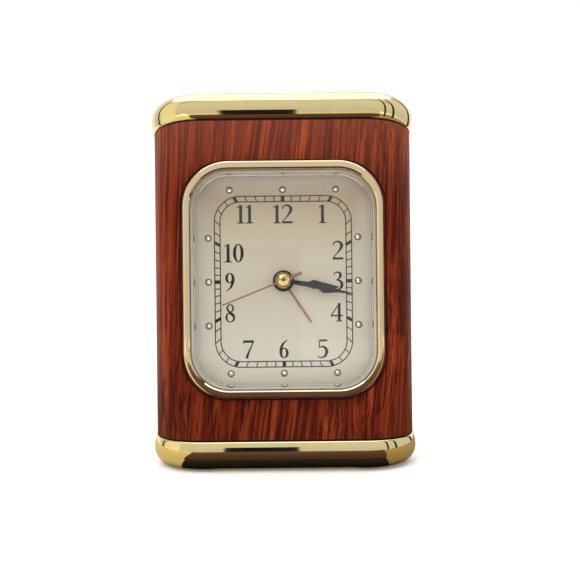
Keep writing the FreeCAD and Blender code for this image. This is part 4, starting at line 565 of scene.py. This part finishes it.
def step(tree, kind, links=None, **settings):
    """Adds a node to a geometry tree; links are input name to socket or value."""
    made = tree.nodes.new(kind)
    for label, value in settings.items():
        setattr(made, label, value)
    for label, source in (links or {}).items():
        if isinstance(source, bpy.types.NodeSocket):
            tree.links.new(source, made.inputs[label])
        else:
            made.inputs[label].default_value = source
    return made


def attach(obj, tree, **sizes):
    modifier = obj.modifiers.new(tree.name, "NODES")
    modifier.node_group = tree
    names = input_names(tree)
    for label, value in sizes.items():
        modifier[names[label.replace("_", " ")]] = value


def plain(obj, name):
    """The evaluated object as a plain mesh object, in place of the one with the modifier."""
    bpy.context.view_layer.update()
    depsgraph = bpy.context.evaluated_depsgraph_get()
    mesh = bpy.data.meshes.new_from_object(obj.evaluated_get(depsgraph))
    mesh.name = name
    made = added(name, mesh)
    bpy.data.objects.remove(obj)
    return made


def marked_points(name, places, **marks):
    """Loose points in millimetres, each with its own numbers."""
    mesh = mesh_of(name, places, [])
    for label, values in marks.items():
        mesh.attributes.new(label, "FLOAT", "POINT").data.foreach_set("value", values)
    return added(name, mesh)


# Smooth shading of the model's facets
def eased_facets():
    """Merges the facets and shades them smooth, except across edges sharper than the given angle."""
    tree, start, end = new_tree("eased_facets", "Edge angle")
    merged = step(tree, "GeometryNodeMergeByDistance",
                  {"Geometry": start.outputs["Geometry"], "Distance": MODEL_MERGE})
    smooth = step(tree, "GeometryNodeSetShadeSmooth",
                  {"Geometry": merged.outputs[0], "Shade Smooth": True}, domain="FACE")
    angle = step(tree, "GeometryNodeInputMeshEdgeAngle")
    sharp = step(tree, "FunctionNodeCompare", operation="GREATER_THAN")
    tree.links.new(angle.outputs[0], sharp.inputs[0])
    tree.links.new(start.outputs["Edge angle"], sharp.inputs[1])
    creased = step(tree, "GeometryNodeSetShadeSmooth",
                   {"Geometry": smooth.outputs[0], "Shade Smooth": False}, domain="EDGE")
    tree.links.new(sharp.outputs[0], creased.inputs["Selection"])
    tree.links.new(creased.outputs[0], end.inputs[0])
    return tree


def dress_model():
    """Gives every node of the model the finish of its slot and eases its facets."""
    tree = eased_facets()
    slots = {row["node"]: row["material_slot"] for row in frame["record"]["subparts"]}
    for name, obj in frame["nodes"].items():
        finish = NODE_FINISHES.get(name, FINISHES[slots[name]])
        if not obj.material_slots:
            obj.data.materials.append(finish)
        for material_slot in obj.material_slots:
            material_slot.material = finish
        attach(obj, tree, Edge_angle=MODEL_EDGE)
        weighted = obj.modifiers.new("weighted", "WEIGHTED_NORMAL")
        weighted.keep_sharp = True


# Gold caps
CAP_END_STEPS = 56
CAP_LOOP_POINTS = 2 * (CAP_END_STEPS + 1)
CAP_EDGE_STEPS = 6
CAP_ARC_STEPS = 10
CAP_ROUND_STEPS = 18


def stadium_loop(radius, height):
    """The cap's plan at one height: two half circles joined by straight sides."""
    loop = []
    for side in (1.0, -1.0):
        for count in range(CAP_END_STEPS + 1):
            turn = -math.pi / 2 + math.pi * count / CAP_END_STEPS
            across = side * (STRAIGHT_HALF + radius * math.cos(turn))
            loop.append((across, side * radius * math.sin(turn), height))
    return loop


def cap_section():
    """(outward, rise) stations from the wood seam over the swell and the round to the flat."""
    round_radius = CAP_HEIGHT - CAP_SWELL_RISE
    sweep_radius = (CAP_SWELL_RISE ** 2 + CAP_SWELL ** 2) / (2 * CAP_SWELL)
    edge_turn = math.asin((CAP_SWELL_RISE - CAP_EDGE) / (sweep_radius - CAP_EDGE))
    edge_middle = CAP_SWELL - sweep_radius + (sweep_radius - CAP_EDGE) * math.cos(edge_turn)
    stations = []
    for count in range(CAP_EDGE_STEPS):
        turn = (math.pi / 2 - edge_turn) * count / CAP_EDGE_STEPS
        stations.append((edge_middle + CAP_EDGE * math.sin(turn), CAP_EDGE * (1 - math.cos(turn))))
    for count in range(CAP_ARC_STEPS):
        turn = edge_turn * (1 - count / CAP_ARC_STEPS)
        stations.append((CAP_SWELL - sweep_radius * (1 - math.cos(turn)),
                         CAP_SWELL_RISE - sweep_radius * math.sin(turn)))
    for count in range(CAP_ROUND_STEPS + 1):
        turn = math.pi / 2 * count / CAP_ROUND_STEPS
        stations.append((CAP_SWELL - round_radius * (1 - math.cos(turn)),
                         CAP_SWELL_RISE + round_radius * math.sin(turn)))
    stations.append((stations[-1][0] - CAP_FLAT_INSET, CAP_HEIGHT))
    return stations


def gold_cap(name, seam, direction, node):
    """The outside of a cap, from its seam with the wood up or down."""
    stations = cap_section()
    points = []
    for outward, rise in stations:
        points.extend(stadium_loop(END_RADIUS + outward, seam + direction * rise))
    faces = skin(0, len(stations), CAP_LOOP_POINTS)
    cap = piece(name, points, faces, GOLD, smooth_from=PIECE_EDGE)
    keep(cap, "case", "gold", node)


def seam_shadow(name, seam, direction):
    """The joint between the wood and a cap, dark with painted shadow."""
    outer = END_RADIUS + SEAM_SHADOW_PROUD
    inner = END_RADIUS - SEAM_SHADOW_DEPTH
    far = seam - direction * SEAM_SHADOW_HEIGHT
    section = ((outer, far), (outer, seam), (inner, seam), (inner, far))
    points = []
    for radius, height in section:
        points.extend(stadium_loop(radius, height))
    faces = skin(0, len(section), CAP_LOOP_POINTS, closed=True)
    line = piece(name, points, faces, JOINT_SHADOW, smooth_from=PIECE_EDGE)
    keep(line, "case", "wood")


# Flat prints and lines on the dial's plane
CORNER_STEPS = 14
MINUTES = 60
MINUTES_A_QUARTER = 15
MINUTES_AN_HOUR_MARK = 5
TINY = 1e-9


def rounded_outline(half_width, half_height, radius):
    """Points of a rounded rectangle round the dial's middle, in the dial's plane."""
    outline = []
    for side_x, side_z, begin in ((1, 1, 0), (-1, 1, 1), (-1, -1, 2), (1, -1, 3)):
        for count in range(CORNER_STEPS + 1):
            turn = (begin + count / CORNER_STEPS) * math.pi / 2
            outline.append((side_x * (half_width - radius) + radius * math.cos(turn),
                            side_z * (half_height - radius) + radius * math.sin(turn)))
    return outline


def ribbon(stations, closed, front, back, points, faces):
    """Adds a flat strip between pairs of points, from the front plane to the back plane."""
    first = len(points)
    for left, right in stations:
        for (across, up), plane in ((left, front), (right, front), (right, back), (left, back)):
            points.append((across, plane, DIAL_MIDDLE + up))
    faces.extend(skin(first, len(stations), 4, closed))


def line_round(half_width, half_height, radius, width):
    """Stations of a line of that width, whose outer edge is the rounded outline."""
    outer = rounded_outline(half_width, half_height, radius)
    inner = rounded_outline(half_width - width, half_height - width, radius - width)
    return list(zip(outer, inner))


def reach(turn, half_width, half_height, radius):
    """How far a rounded outline lies from the middle along a clock angle."""
    across = abs(math.sin(turn))
    up = abs(math.cos(turn))
    flat = min(half_width / max(across, TINY), half_height / max(up, TINY))
    corner_x = half_width - radius
    corner_z = half_height - radius
    if flat * across <= corner_x or flat * up <= corner_z:
        return flat
    along = corner_x * across + corner_z * up
    return along + math.sqrt(along ** 2 - corner_x ** 2 - corner_z ** 2 + radius ** 2)


def tick_width(minute):
    if minute % MINUTES_A_QUARTER == 0:
        return QUARTER_TICK
    return HOUR_TICK if minute % MINUTES_AN_HOUR_MARK == 0 else MINUTE_TICK


def minute_track():
    """Two thin lines round the dial and the ticks between them."""
    inset = TRACK_WIDTH - TRACK_LINE
    outlines = (TRACK_OUTER, tuple(size - inset for size in TRACK_OUTER))
    points = []
    faces = []
    for outline in outlines:
        ribbon(line_round(*outline, TRACK_LINE), True, DIAL_FACE - INK_THICKNESS, DIAL_FACE + INK_SUNK,
               points, faces)
    keep(piece("minute_track", points, faces, INK), "case", "dial")
    middle = DIAL_FACE - INK_THICKNESS / 2 + INK_SUNK
    places = []
    turns = turns_of(MINUTES)
    lengths = []
    widths = []
    for minute, turn in enumerate(turns):
        far, near = (reach(turn, *(size - TRACK_LINE / 2 for size in outline)) for outline in outlines)
        distance = (far + near) / 2
        places.append((distance * math.sin(turn), middle, DIAL_MIDDLE + distance * math.cos(turn)))
        lengths.append((far - near) * MM)
        widths.append(tick_width(minute) * MM)
    marks = marked_points("tick_marks", places, turn=turns, length=lengths, width=widths)
    attach(marks, tick_tree(), Thickness=(INK_THICKNESS + INK_SUNK) * MM)
    keep(plain(marks, "minute_ticks"), "case", "dial")


def tick_tree():
    """A flat bar on each marked point, turned along its ray and as long and wide as the point says."""
    tree, start, end = new_tree("dial_ticks", "Thickness")
    marks = {
        label: step(tree, "GeometryNodeInputNamedAttribute", {"Name": label}, data_type="FLOAT").outputs[0]
        for label in ("turn", "length", "width")
    }
    bar = step(tree, "GeometryNodeMeshCube", {"Size": (1.0, 1.0, 1.0)})
    turned = step(tree, "ShaderNodeCombineXYZ", {"Y": marks["turn"]})
    rotation = step(tree, "FunctionNodeEulerToRotation", {"Euler": turned.outputs[0]})
    size = step(tree, "ShaderNodeCombineXYZ",
                {"X": marks["width"], "Y": start.outputs["Thickness"], "Z": marks["length"]})
    placed = step(tree, "GeometryNodeInstanceOnPoints",
                  {"Points": start.outputs["Geometry"], "Instance": bar.outputs[0],
                   "Rotation": rotation.outputs[0], "Scale": size.outputs[0]})
    real = step(tree, "GeometryNodeRealizeInstances", {"Geometry": placed.outputs[0]})
    inked = step(tree, "GeometryNodeSetMaterial", {"Geometry": real.outputs[0], "Material": INK})
    tree.links.new(inked.outputs[0], end.inputs[0])
    return tree


# Numerals: strokes of (across, up, width) and rings of (middle, half sizes, side and end widths),
# all as shares of the numeral's height
DIGIT_WIDTH_SHARES = {
    "0": 0.62, "1": 0.43, "2": 0.62, "3": 0.57, "4": 0.68,
    "5": 0.60, "6": 0.56, "7": 0.62, "8": 0.60, "9": 0.60,
}
STROKE_SHARES = {
    "0": [],
    "1": [
        [(0.24, 0.02, 0.14), (0.24, 0.985, 0.14)],
        [(0.25, 0.965, 0.05), (0.15, 0.90, 0.055), (0.03, 0.862, 0.035)],
        [(0.03, 0.022, 0.045), (0.45, 0.022, 0.045)],
        [(0.24, 0.0, 0.26), (0.24, 0.05, 0.2), (0.24, 0.11, 0.14)],
    ],
    "2": [
        [(0.06, 0.76, 0.05), (0.09, 0.87, 0.06), (0.19, 0.955, 0.06), (0.32, 0.965, 0.08),
         (0.46, 0.89, 0.12), (0.515, 0.75, 0.14), (0.46, 0.59, 0.115), (0.33, 0.41, 0.07),
         (0.17, 0.22, 0.05), (0.04, 0.06, 0.05)],
        [(0.03, 0.05, 0.10), (0.60, 0.05, 0.10)],
    ],
    "3": [
        [(0.05, 0.82, 0.045), (0.12, 0.93, 0.055), (0.26, 0.97, 0.065), (0.39, 0.90, 0.11),
         (0.41, 0.76, 0.12), (0.33, 0.63, 0.07), (0.19, 0.55, 0.045)],
        [(0.19, 0.55, 0.045), (0.36, 0.51, 0.09), (0.475, 0.38, 0.13), (0.475, 0.21, 0.13),
         (0.36, 0.07, 0.08), (0.19, 0.025, 0.05), (0.04, 0.09, 0.05)],
    ],
    "4": [
        [(0.49, 0.97, 0.05), (0.04, 0.33, 0.05)],
        [(0.02, 0.31, 0.07), (0.67, 0.31, 0.07)],
        [(0.47, 0.02, 0.13), (0.47, 0.99, 0.13)],
        [(0.30, 0.022, 0.045), (0.64, 0.022, 0.045)],
    ],
    "5": [
        [(0.12, 0.945, 0.095), (0.54, 0.945, 0.095)],
        [(0.135, 0.96, 0.05), (0.10, 0.55, 0.05)],
        [(0.10, 0.55, 0.045), (0.22, 0.61, 0.06), (0.37, 0.59, 0.10), (0.495, 0.46, 0.135),
         (0.51, 0.29, 0.14), (0.43, 0.12, 0.11), (0.28, 0.03, 0.06), (0.14, 0.03, 0.05),
         (0.03, 0.11, 0.05)],
    ],
    "6": [
        [(0.115, 0.27, 0.12), (0.125, 0.50, 0.125), (0.22, 0.74, 0.10), (0.34, 0.88, 0.06),
         (0.48, 0.985, 0.04)],
    ],
    "7": [
        [(0.03, 0.925, 0.11), (0.60, 0.925, 0.11)],
        [(0.045, 0.96, 0.04), (0.025, 0.80, 0.045)],
        [(0.575, 0.93, 0.06), (0.46, 0.66, 0.06), (0.31, 0.33, 0.09), (0.20, 0.015, 0.135)],
    ],
    "8": [
        [(0.13, 0.74, 0.06), (0.24, 0.58, 0.11), (0.38, 0.44, 0.12), (0.49, 0.28, 0.06)],
    ],
    "9": [
        [(0.475, 0.72, 0.12), (0.465, 0.50, 0.125), (0.37, 0.26, 0.10), (0.26, 0.12, 0.06),
         (0.12, 0.015, 0.04)],
    ],
}
RING_SHARES = {
    "0": [(0.31, 0.50, 0.29, 0.495, 0.145, 0.045)],
    "6": [(0.295, 0.29, 0.245, 0.285, 0.125, 0.045)],
    "8": [(0.30, 0.765, 0.205, 0.23, 0.085, 0.045), (0.30, 0.275, 0.26, 0.275, 0.095, 0.045)],
    "9": [(0.295, 0.71, 0.245, 0.285, 0.125, 0.045)],
}

# Middles of the numerals, in millimetres across and up from the middle of the dial
NUMERAL_PLACES = {
    "12": (0.0, 19.85), "1": (11.55, 19.8), "2": (16.1, 9.05), "3": (16.1, 0.0),
    "4": (15.6, -9.2), "5": (11.35, -19.9), "6": (-0.1, -19.9), "7": (-10.45, -19.9),
    "8": (-15.75, -9.2), "9": (-15.75, 0.0), "10": (-14.5, 8.5), "11": (-11.2, 19.9),
}
CURVE_STEPS = 7
RING_STEPS = 44


def flowing(stations):
    """A smooth curve through the stations, widths included; two stations stay a straight stroke."""
    if len(stations) < 3:
        return [Vector(station) for station in stations]
    ends = [stations[0]] + list(stations) + [stations[-1]]
    path = []
    for index in range(1, len(ends) - 2):
        before, here, there, after = (Vector(ends[index + shift]) for shift in (-1, 0, 1, 2))
        slope = there - before
        square = 2 * before - 5 * here + 4 * there - after
        cube = 3 * here - before - 3 * there + after
        for count in range(CURVE_STEPS):
            share = count / CURVE_STEPS
            path.append(0.5 * (2 * here + slope * share + square * share ** 2 + cube * share ** 3))
    path.append(Vector(stations[-1]))
    return path


def stroke_sides(path):
    """Left and right edge of a pen stroke along the path."""
    sides = []
    for index, station in enumerate(path):
        before = path[max(index - 1, 0)]
        after = path[min(index + 1, len(path) - 1)]
        along = Vector((after.x - before.x, after.y - before.y)).normalized()
        across = Vector((-along.y, along.x)) * station.z * NUMERAL_WEIGHT_SHARE / 2
        middle = Vector((station.x, station.y))
        sides.append((tuple(middle + across), tuple(middle - across)))
    return sides


def ring_sides(middle_x, middle_y, half_x, half_y, side_width, end_width):
    """Outer and inner edge of an oval that is thicker at its sides."""
    inner_x = half_x - side_width * NUMERAL_WEIGHT_SHARE
    inner_y = half_y - end_width * NUMERAL_WEIGHT_SHARE
    return [
        tuple(
            (middle_x + across * math.cos(turn), middle_y + up * math.sin(turn))
            for across, up in ((half_x, half_y), (inner_x, inner_y))
        )
        for turn in turns_of(RING_STEPS)
    ]


def numeral_width_share(text):
    return sum(DIGIT_WIDTH_SHARES[digit] for digit in text) + DIGIT_GAP_SHARE * (len(text) - 1)


def numerals():
    """The twelve printed hour numerals, each stroke on a layer of its own."""
    points = []
    faces = []
    for text, (across, up) in NUMERAL_PLACES.items():
        left = across - numeral_width_share(text) / 2 * NUMERAL_HEIGHT
        foot = up - NUMERAL_HEIGHT / 2
        layer = 0
        for digit in text:
            shapes = [(stroke_sides(flowing(stroke)), False) for stroke in STROKE_SHARES[digit]]
            shapes += [(ring_sides(*ring), True) for ring in RING_SHARES.get(digit, [])]
            for sides, closed in shapes:
                placed = [
                    tuple((left + x * NUMERAL_HEIGHT, foot + y * NUMERAL_HEIGHT) for x, y in pair)
                    for pair in sides
                ]
                front = DIAL_FACE - INK_THICKNESS - layer * INK_STEP
                ribbon(placed, closed, front, DIAL_FACE + INK_SUNK, points, faces)
                layer += 1
            left += (DIGIT_WIDTH_SHARES[digit] + DIGIT_GAP_SHARE) * NUMERAL_HEIGHT
    keep(piece("hour_numerals", points, faces, INK), "case", "dial")


# Domed studs at the hours, and the centre of the hand button
STUD_STEPS = 28
DOME_RINGS = 14
BEAD_STEPS = 10
REFLECTION_DOT_STEPS = 24


def set_on_points(tree, start, end, shape, material):
    """Ends a tree: the shape, turned to face the front, real on every point and in its material."""
    turned = step(tree, "GeometryNodeTransform", {"Geometry": shape, "Rotation": (math.pi / 2, 0.0, 0.0)})
    placed = step(tree, "GeometryNodeInstanceOnPoints",
                  {"Points": start.outputs["Geometry"], "Instance": turned.outputs[0]})
    smooth = step(tree, "GeometryNodeSetShadeSmooth", {"Geometry": placed.outputs[0], "Shade Smooth": True})
    real = step(tree, "GeometryNodeRealizeInstances", {"Geometry": smooth.outputs[0]})
    plated = step(tree, "GeometryNodeSetMaterial", {"Geometry": real.outputs[0], "Material": material})
    tree.links.new(plated.outputs[0], end.inputs[0])
    return tree


def dome_tree():
    """A flattened dome, set into the dial, on each point."""
    tree, start, end = new_tree("stud_domes", "Radius", "Rise")
    ball = step(tree, "GeometryNodeMeshUVSphere",
                {"Segments": STUD_STEPS, "Rings": DOME_RINGS, "Radius": 1.0})
    size = step(tree, "ShaderNodeCombineXYZ",
                {"X": start.outputs["Radius"], "Y": start.outputs["Radius"], "Z": start.outputs["Rise"]})
    dome = step(tree, "GeometryNodeTransform", {"Geometry": ball.outputs[0], "Scale": size.outputs[0]})
    return set_on_points(tree, start, end, dome.outputs[0], STUD_GOLD)


def shadow_rim_tree():
    """A round bead in a ring on each point, dark as a painted shadow round the stud."""
    tree, start, end = new_tree("stud_rim_shadows", "Radius", "Bead")
    line, bead = (
        step(tree, "GeometryNodeCurvePrimitiveCircle",
             {"Resolution": steps, "Radius": start.outputs[label]})
        for steps, label in ((STUD_STEPS, "Radius"), (BEAD_STEPS, "Bead"))
    )
    ring = step(tree, "GeometryNodeCurveToMesh",
                {"Curve": line.outputs[0], "Profile Curve": bead.outputs[0]})
    return set_on_points(tree, start, end, ring.outputs[0], STUD_SHADOW_RIM_FINISH)


def hour_studs():
    """A polished dome at each hour, in a dark rim that is a painted shadow."""
    places = [(across, DIAL_FACE, DIAL_MIDDLE + up) for across, up in STUD_PLACES]
    domes = marked_points("dome_marks", places)
    attach(domes, dome_tree(), Radius=STUD_DOME * MM, Rise=STUD_RISE * MM)
    keep(plain(domes, "hour_stud_domes"), "case", "gold_satin", "hour_studs")
    rims = marked_points("shadow_rim_marks", places)
    attach(rims, shadow_rim_tree(), Radius=STUD_SHADOW_RIM * MM, Bead=STUD_SHADOW_RIM_BEAD * MM)
    keep(plain(rims, "hour_stud_rim_shadows"), "case", "gold_satin")


def painted_button_reflection():
    """A small dark disc in the centre of the button, a painted reflection of the camera."""
    planes = (BUTTON_FRONT - REFLECTION_DOT_PROUD, BUTTON_FRONT + REFLECTION_DOT_DEPTH)
    points = [
        (REFLECTION_DOT_RADIUS * math.cos(turn), plane, DIAL_MIDDLE + REFLECTION_DOT_RADIUS * math.sin(turn))
        for plane in planes
        for turn in turns_of(REFLECTION_DOT_STEPS)
    ]
    faces = skin(0, len(planes), REFLECTION_DOT_STEPS)
    keep(piece("painted_button_reflection", points, faces, REFLECTION_DOT_FINISH), "seconds", "gold")


def bezel_shadow():
    """The joint between the gold bezel and the wood, dark with painted shadow."""
    points = []
    faces = []
    outline = (*(half + BEZEL_SHADOW for half in BEZEL_HALF), BEZEL_CORNER + BEZEL_SHADOW)
    ribbon(line_round(*outline, 2 * BEZEL_SHADOW), True, WOOD_FRONT - BEZEL_SHADOW_PROUD,
           WOOD_FRONT + BEZEL_SHADOW_SUNK, points, faces)
    keep(piece("bezel_joint_shadow", points, faces, JOINT_SHADOW), "case", "wood")


# Studio, in metres
FLOOR_HALF = 1.6
FLOOR_WHITE = (0.93, 0.93, 0.925, 1.0)
FLOOR_GLOW = 0.06
SWEEP_START = 0.55
SWEEP_RADIUS = 0.5
SWEEP_TOP = 2.2
SWEEP_STEPS = 16


def plain_finish(name, colour, roughness, glow=0.0):
    finish = Finish(name, Base_Color=colour, Roughness=roughness,
                    Emission_Color=colour, Emission_Strength=glow)
    return finish.material


def sheet(name, points, faces, material):
    """A thin piece of the studio."""
    mesh = bpy.data.meshes.new(name)
    mesh.from_pydata(points, [], faces)
    mesh.materials.append(material)
    return added(name, mesh)


def studio_floor():
    """A pale floor that sweeps up behind the clock."""
    line = [(-FLOOR_HALF, 0.0), (SWEEP_START, 0.0)]
    for count in range(1, SWEEP_STEPS + 1):
        turn = math.pi / 2 * count / SWEEP_STEPS
        line.append((SWEEP_START + SWEEP_RADIUS * math.sin(turn), SWEEP_RADIUS * (1 - math.cos(turn))))
    line.append((SWEEP_START + SWEEP_RADIUS, SWEEP_TOP))
    points = [(side, depth, height) for depth, height in line for side in (-FLOOR_HALF, FLOOR_HALF)]
    faces = [(2 * row, 2 * row + 1, 2 * row + 3, 2 * row + 2) for row in range(len(line) - 1)]
    white = plain_finish("studio_white", FLOOR_WHITE, roughness=0.7, glow=FLOOR_GLOW)
    floor = sheet("studio_floor", points, faces, white)
    for face in floor.data.polygons:
        face.use_smooth = True


def studio_card(name, corners, colour):
    """A card that is seen only in reflections, as a photographer sets up beside the view."""
    card = sheet(name, corners, [tuple(range(len(corners)))], plain_finish(name, colour, roughness=0.9))
    card.visible_camera = False
    card.visible_diffuse = False
    card.visible_shadow = False
    card.visible_transmission = False


def around(azimuth, distance):
    """A place on the floor round the clock; azimuth 0 is in front and 90 to the viewer's left."""
    turn = math.radians(azimuth)
    return (-distance * math.sin(turn), -distance * math.cos(turn))


# Cards that lie on the floor: name, layer, colour and corners
CARD_LAYER = 0.0002
FOOT_FRONT = -0.0125
FAR_FRONT = -0.46
FAR_LEFT = -0.26
FAR_RIGHT = 0.42
SIDE_NEAR = 0.02
SIDE_FAR = 0.9
SIDE_REAR = 0.2
LYING_CARDS = (
    ("near_card", 4, (0.004, 0.004, 0.004, 1.0),
     ((-0.032, -0.0196), (0.032, -0.0196), (0.030, FOOT_FRONT), (-0.030, FOOT_FRONT))),
    ("brown_card", 3, paint(66, 34, 26),
     ((FAR_LEFT, FAR_FRONT), (FAR_RIGHT, FAR_FRONT), (0.033, -0.0185), (-0.033, -0.0185))),
    ("tan_card", 3, paint(196, 186, 168),
     ((-1.2, -1.55), (1.2, -1.55), (FAR_RIGHT, FAR_FRONT), (FAR_LEFT, FAR_FRONT))),
    ("left_floor_card", 2, paint(200, 186, 146),
     ((-SIDE_FAR, FAR_FRONT), (-0.2, FAR_FRONT), (-SIDE_NEAR, FOOT_FRONT), (-SIDE_NEAR, SIDE_REAR),
      (-SIDE_FAR, SIDE_REAR))),
    ("right_floor_card", 2, paint(146, 126, 92),
     ((0.36, FAR_FRONT), (SIDE_FAR, FAR_FRONT), (SIDE_FAR, SIDE_REAR), (SIDE_NEAR, SIDE_REAR),
      (SIDE_NEAR, FOOT_FRONT))),
)

# Cards that stand: name, left and right end, foot, head and colour
STRIP_DISTANCE = 0.3
STRIP_HEIGHT = 0.45
STRIP_COLOUR = (0.02, 0.012, 0.006, 1.0)
STANDING_CARDS = (
    ("black_card", (-0.074, -0.45), (0.017, -0.45), 0.0, 0.126, (0.002, 0.002, 0.002, 1.0)),
    ("boom_card", (-4.0, -2.0), (4.0, -2.0), 2.56, 2.80, paint(70, 60, 36)),
    ("bright_card", around(94.0, 0.36), around(58.0, 0.36), 0.0, 0.42, paint(238, 232, 208)),
)

# Dark upright strips: name, azimuth of the middle and width, both in degrees round the clock
STRIPS = (
    ("left_strip", 101.5, 5.0),
    ("right_strip", -70.0, 5.0),
    ("right_near_strip", -52.0, 4.0),
    ("right_far_strip", -118.0, 9.0),
)


def standing_card(name, left, right, low, high, colour):
    """An upright card between two places on the floor."""
    studio_card(name, [(*left, low), (*right, low), (*right, high), (*left, high)], colour)


def studio_cards():
    """Cards in front and beside, which give the polished gold its dark and pale bands."""
    for name, layer, colour, corners in LYING_CARDS:
        studio_card(name, [(*corner, layer * CARD_LAYER) for corner in corners], colour)
    for card in STANDING_CARDS:
        standing_card(*card)
    for name, azimuth, width in STRIPS:
        ends = (around(azimuth + side * width / 2, STRIP_DISTANCE) for side in (1, -1))
        standing_card(name, *ends, 0.0, STRIP_HEIGHT, STRIP_COLOUR)


# Sky: levels by the upward part of the direction; lamps: name, place and size, power in watts
SKY_LEVELS = ((0.0, 0.42), (0.40, 0.48), (0.72, 0.48), (0.795, 0.60), (0.81, 1.4), (1.0, 1.2))
SKY_TINT_SHARES = (1.0, 0.99, 0.96)
SKY_STRENGTH = 1.75
LAMPS = (
    ("key_light", (-0.36, -0.48, 0.62), 0.42, 2.4),
    ("side_light", (0.62, -0.30, 0.26), 0.35, 0.5),
)


def studio_sky():
    world = bpy.data.worlds.new("studio_sky")
    bpy.context.scene.world = world
    world.use_nodes = True
    tree = world.node_tree
    background = tree.nodes["Background"]
    direction = tree.nodes.new("ShaderNodeTexCoord")
    parts = tree.nodes.new("ShaderNodeSeparateXYZ")
    ramp = tree.nodes.new("ShaderNodeValToRGB")
    tree.links.new(direction.outputs["Generated"], parts.inputs[0])
    tree.links.new(parts.outputs["Z"], ramp.inputs[0])
    set_stops(ramp, [
        (place, (*(level * share for share in SKY_TINT_SHARES), 1.0)) for place, level in SKY_LEVELS
    ])
    tree.links.new(ramp.outputs[0], background.inputs["Color"])
    background.inputs["Strength"].default_value = SKY_STRENGTH


def studio_lamps():
    """Two soft square lamps, aimed at the clock, that aren't seen in reflections."""
    for name, place, size, power in LAMPS:
        data = bpy.data.lights.new(name, "AREA")
        data.shape = "SQUARE"
        data.size = size
        data.energy = power
        lamp = added(name, data)
        lamp.visible_glossy = False
        aim = Vector((0.0, 0.0, DIAL_MIDDLE * MM)) - Vector(place)
        turned = aim.to_track_quat("-Z", "Y").to_matrix().to_4x4()
        lamp.matrix_world = Matrix.Translation(place) @ turned


# Camera: place in metres, lens and sensor in millimetres, roll in degrees, shift as shares of the frame
CAMERA_PLACE = (0.0, -0.171, 0.04165)
CAMERA_LENS = 33.87
CAMERA_SENSOR = 36.0
CAMERA_ROLL = -0.6
CAMERA_SHIFT_SHARES = (0.0105, 0.062)
CAMERA_NEAR = 0.01
CAMERA_FAR = 20.0


def camera():
    data = bpy.data.cameras.new("camera")
    data.lens = CAMERA_LENS
    data.sensor_width = CAMERA_SENSOR
    data.shift_x, data.shift_y = CAMERA_SHIFT_SHARES
    data.clip_start = CAMERA_NEAR
    data.clip_end = CAMERA_FAR
    obj = added("camera", data)
    level = Matrix.Rotation(math.radians(90.0), 4, "X")
    roll = Matrix.Rotation(math.radians(CAMERA_ROLL), 4, "Z")
    obj.matrix_world = Matrix.Translation(CAMERA_PLACE) @ level @ roll
    bpy.context.scene.camera = obj


dress_model()
gold_cap("top_cap_shell", WOOD_TOP, UP, "top_cap")
gold_cap("bottom_cap_shell", WOOD_BOTTOM, DOWN, "bottom_cap")
seam_shadow("top_joint_shadow", WOOD_TOP, UP)
seam_shadow("bottom_joint_shadow", WOOD_BOTTOM, DOWN)
bezel_shadow()
minute_track()
numerals()
hour_studs()
painted_button_reflection()
studio_floor()
studio_cards()
studio_sky()
studio_lamps()
camera()
bpy.context.scene.view_settings.view_transform = "Standard"
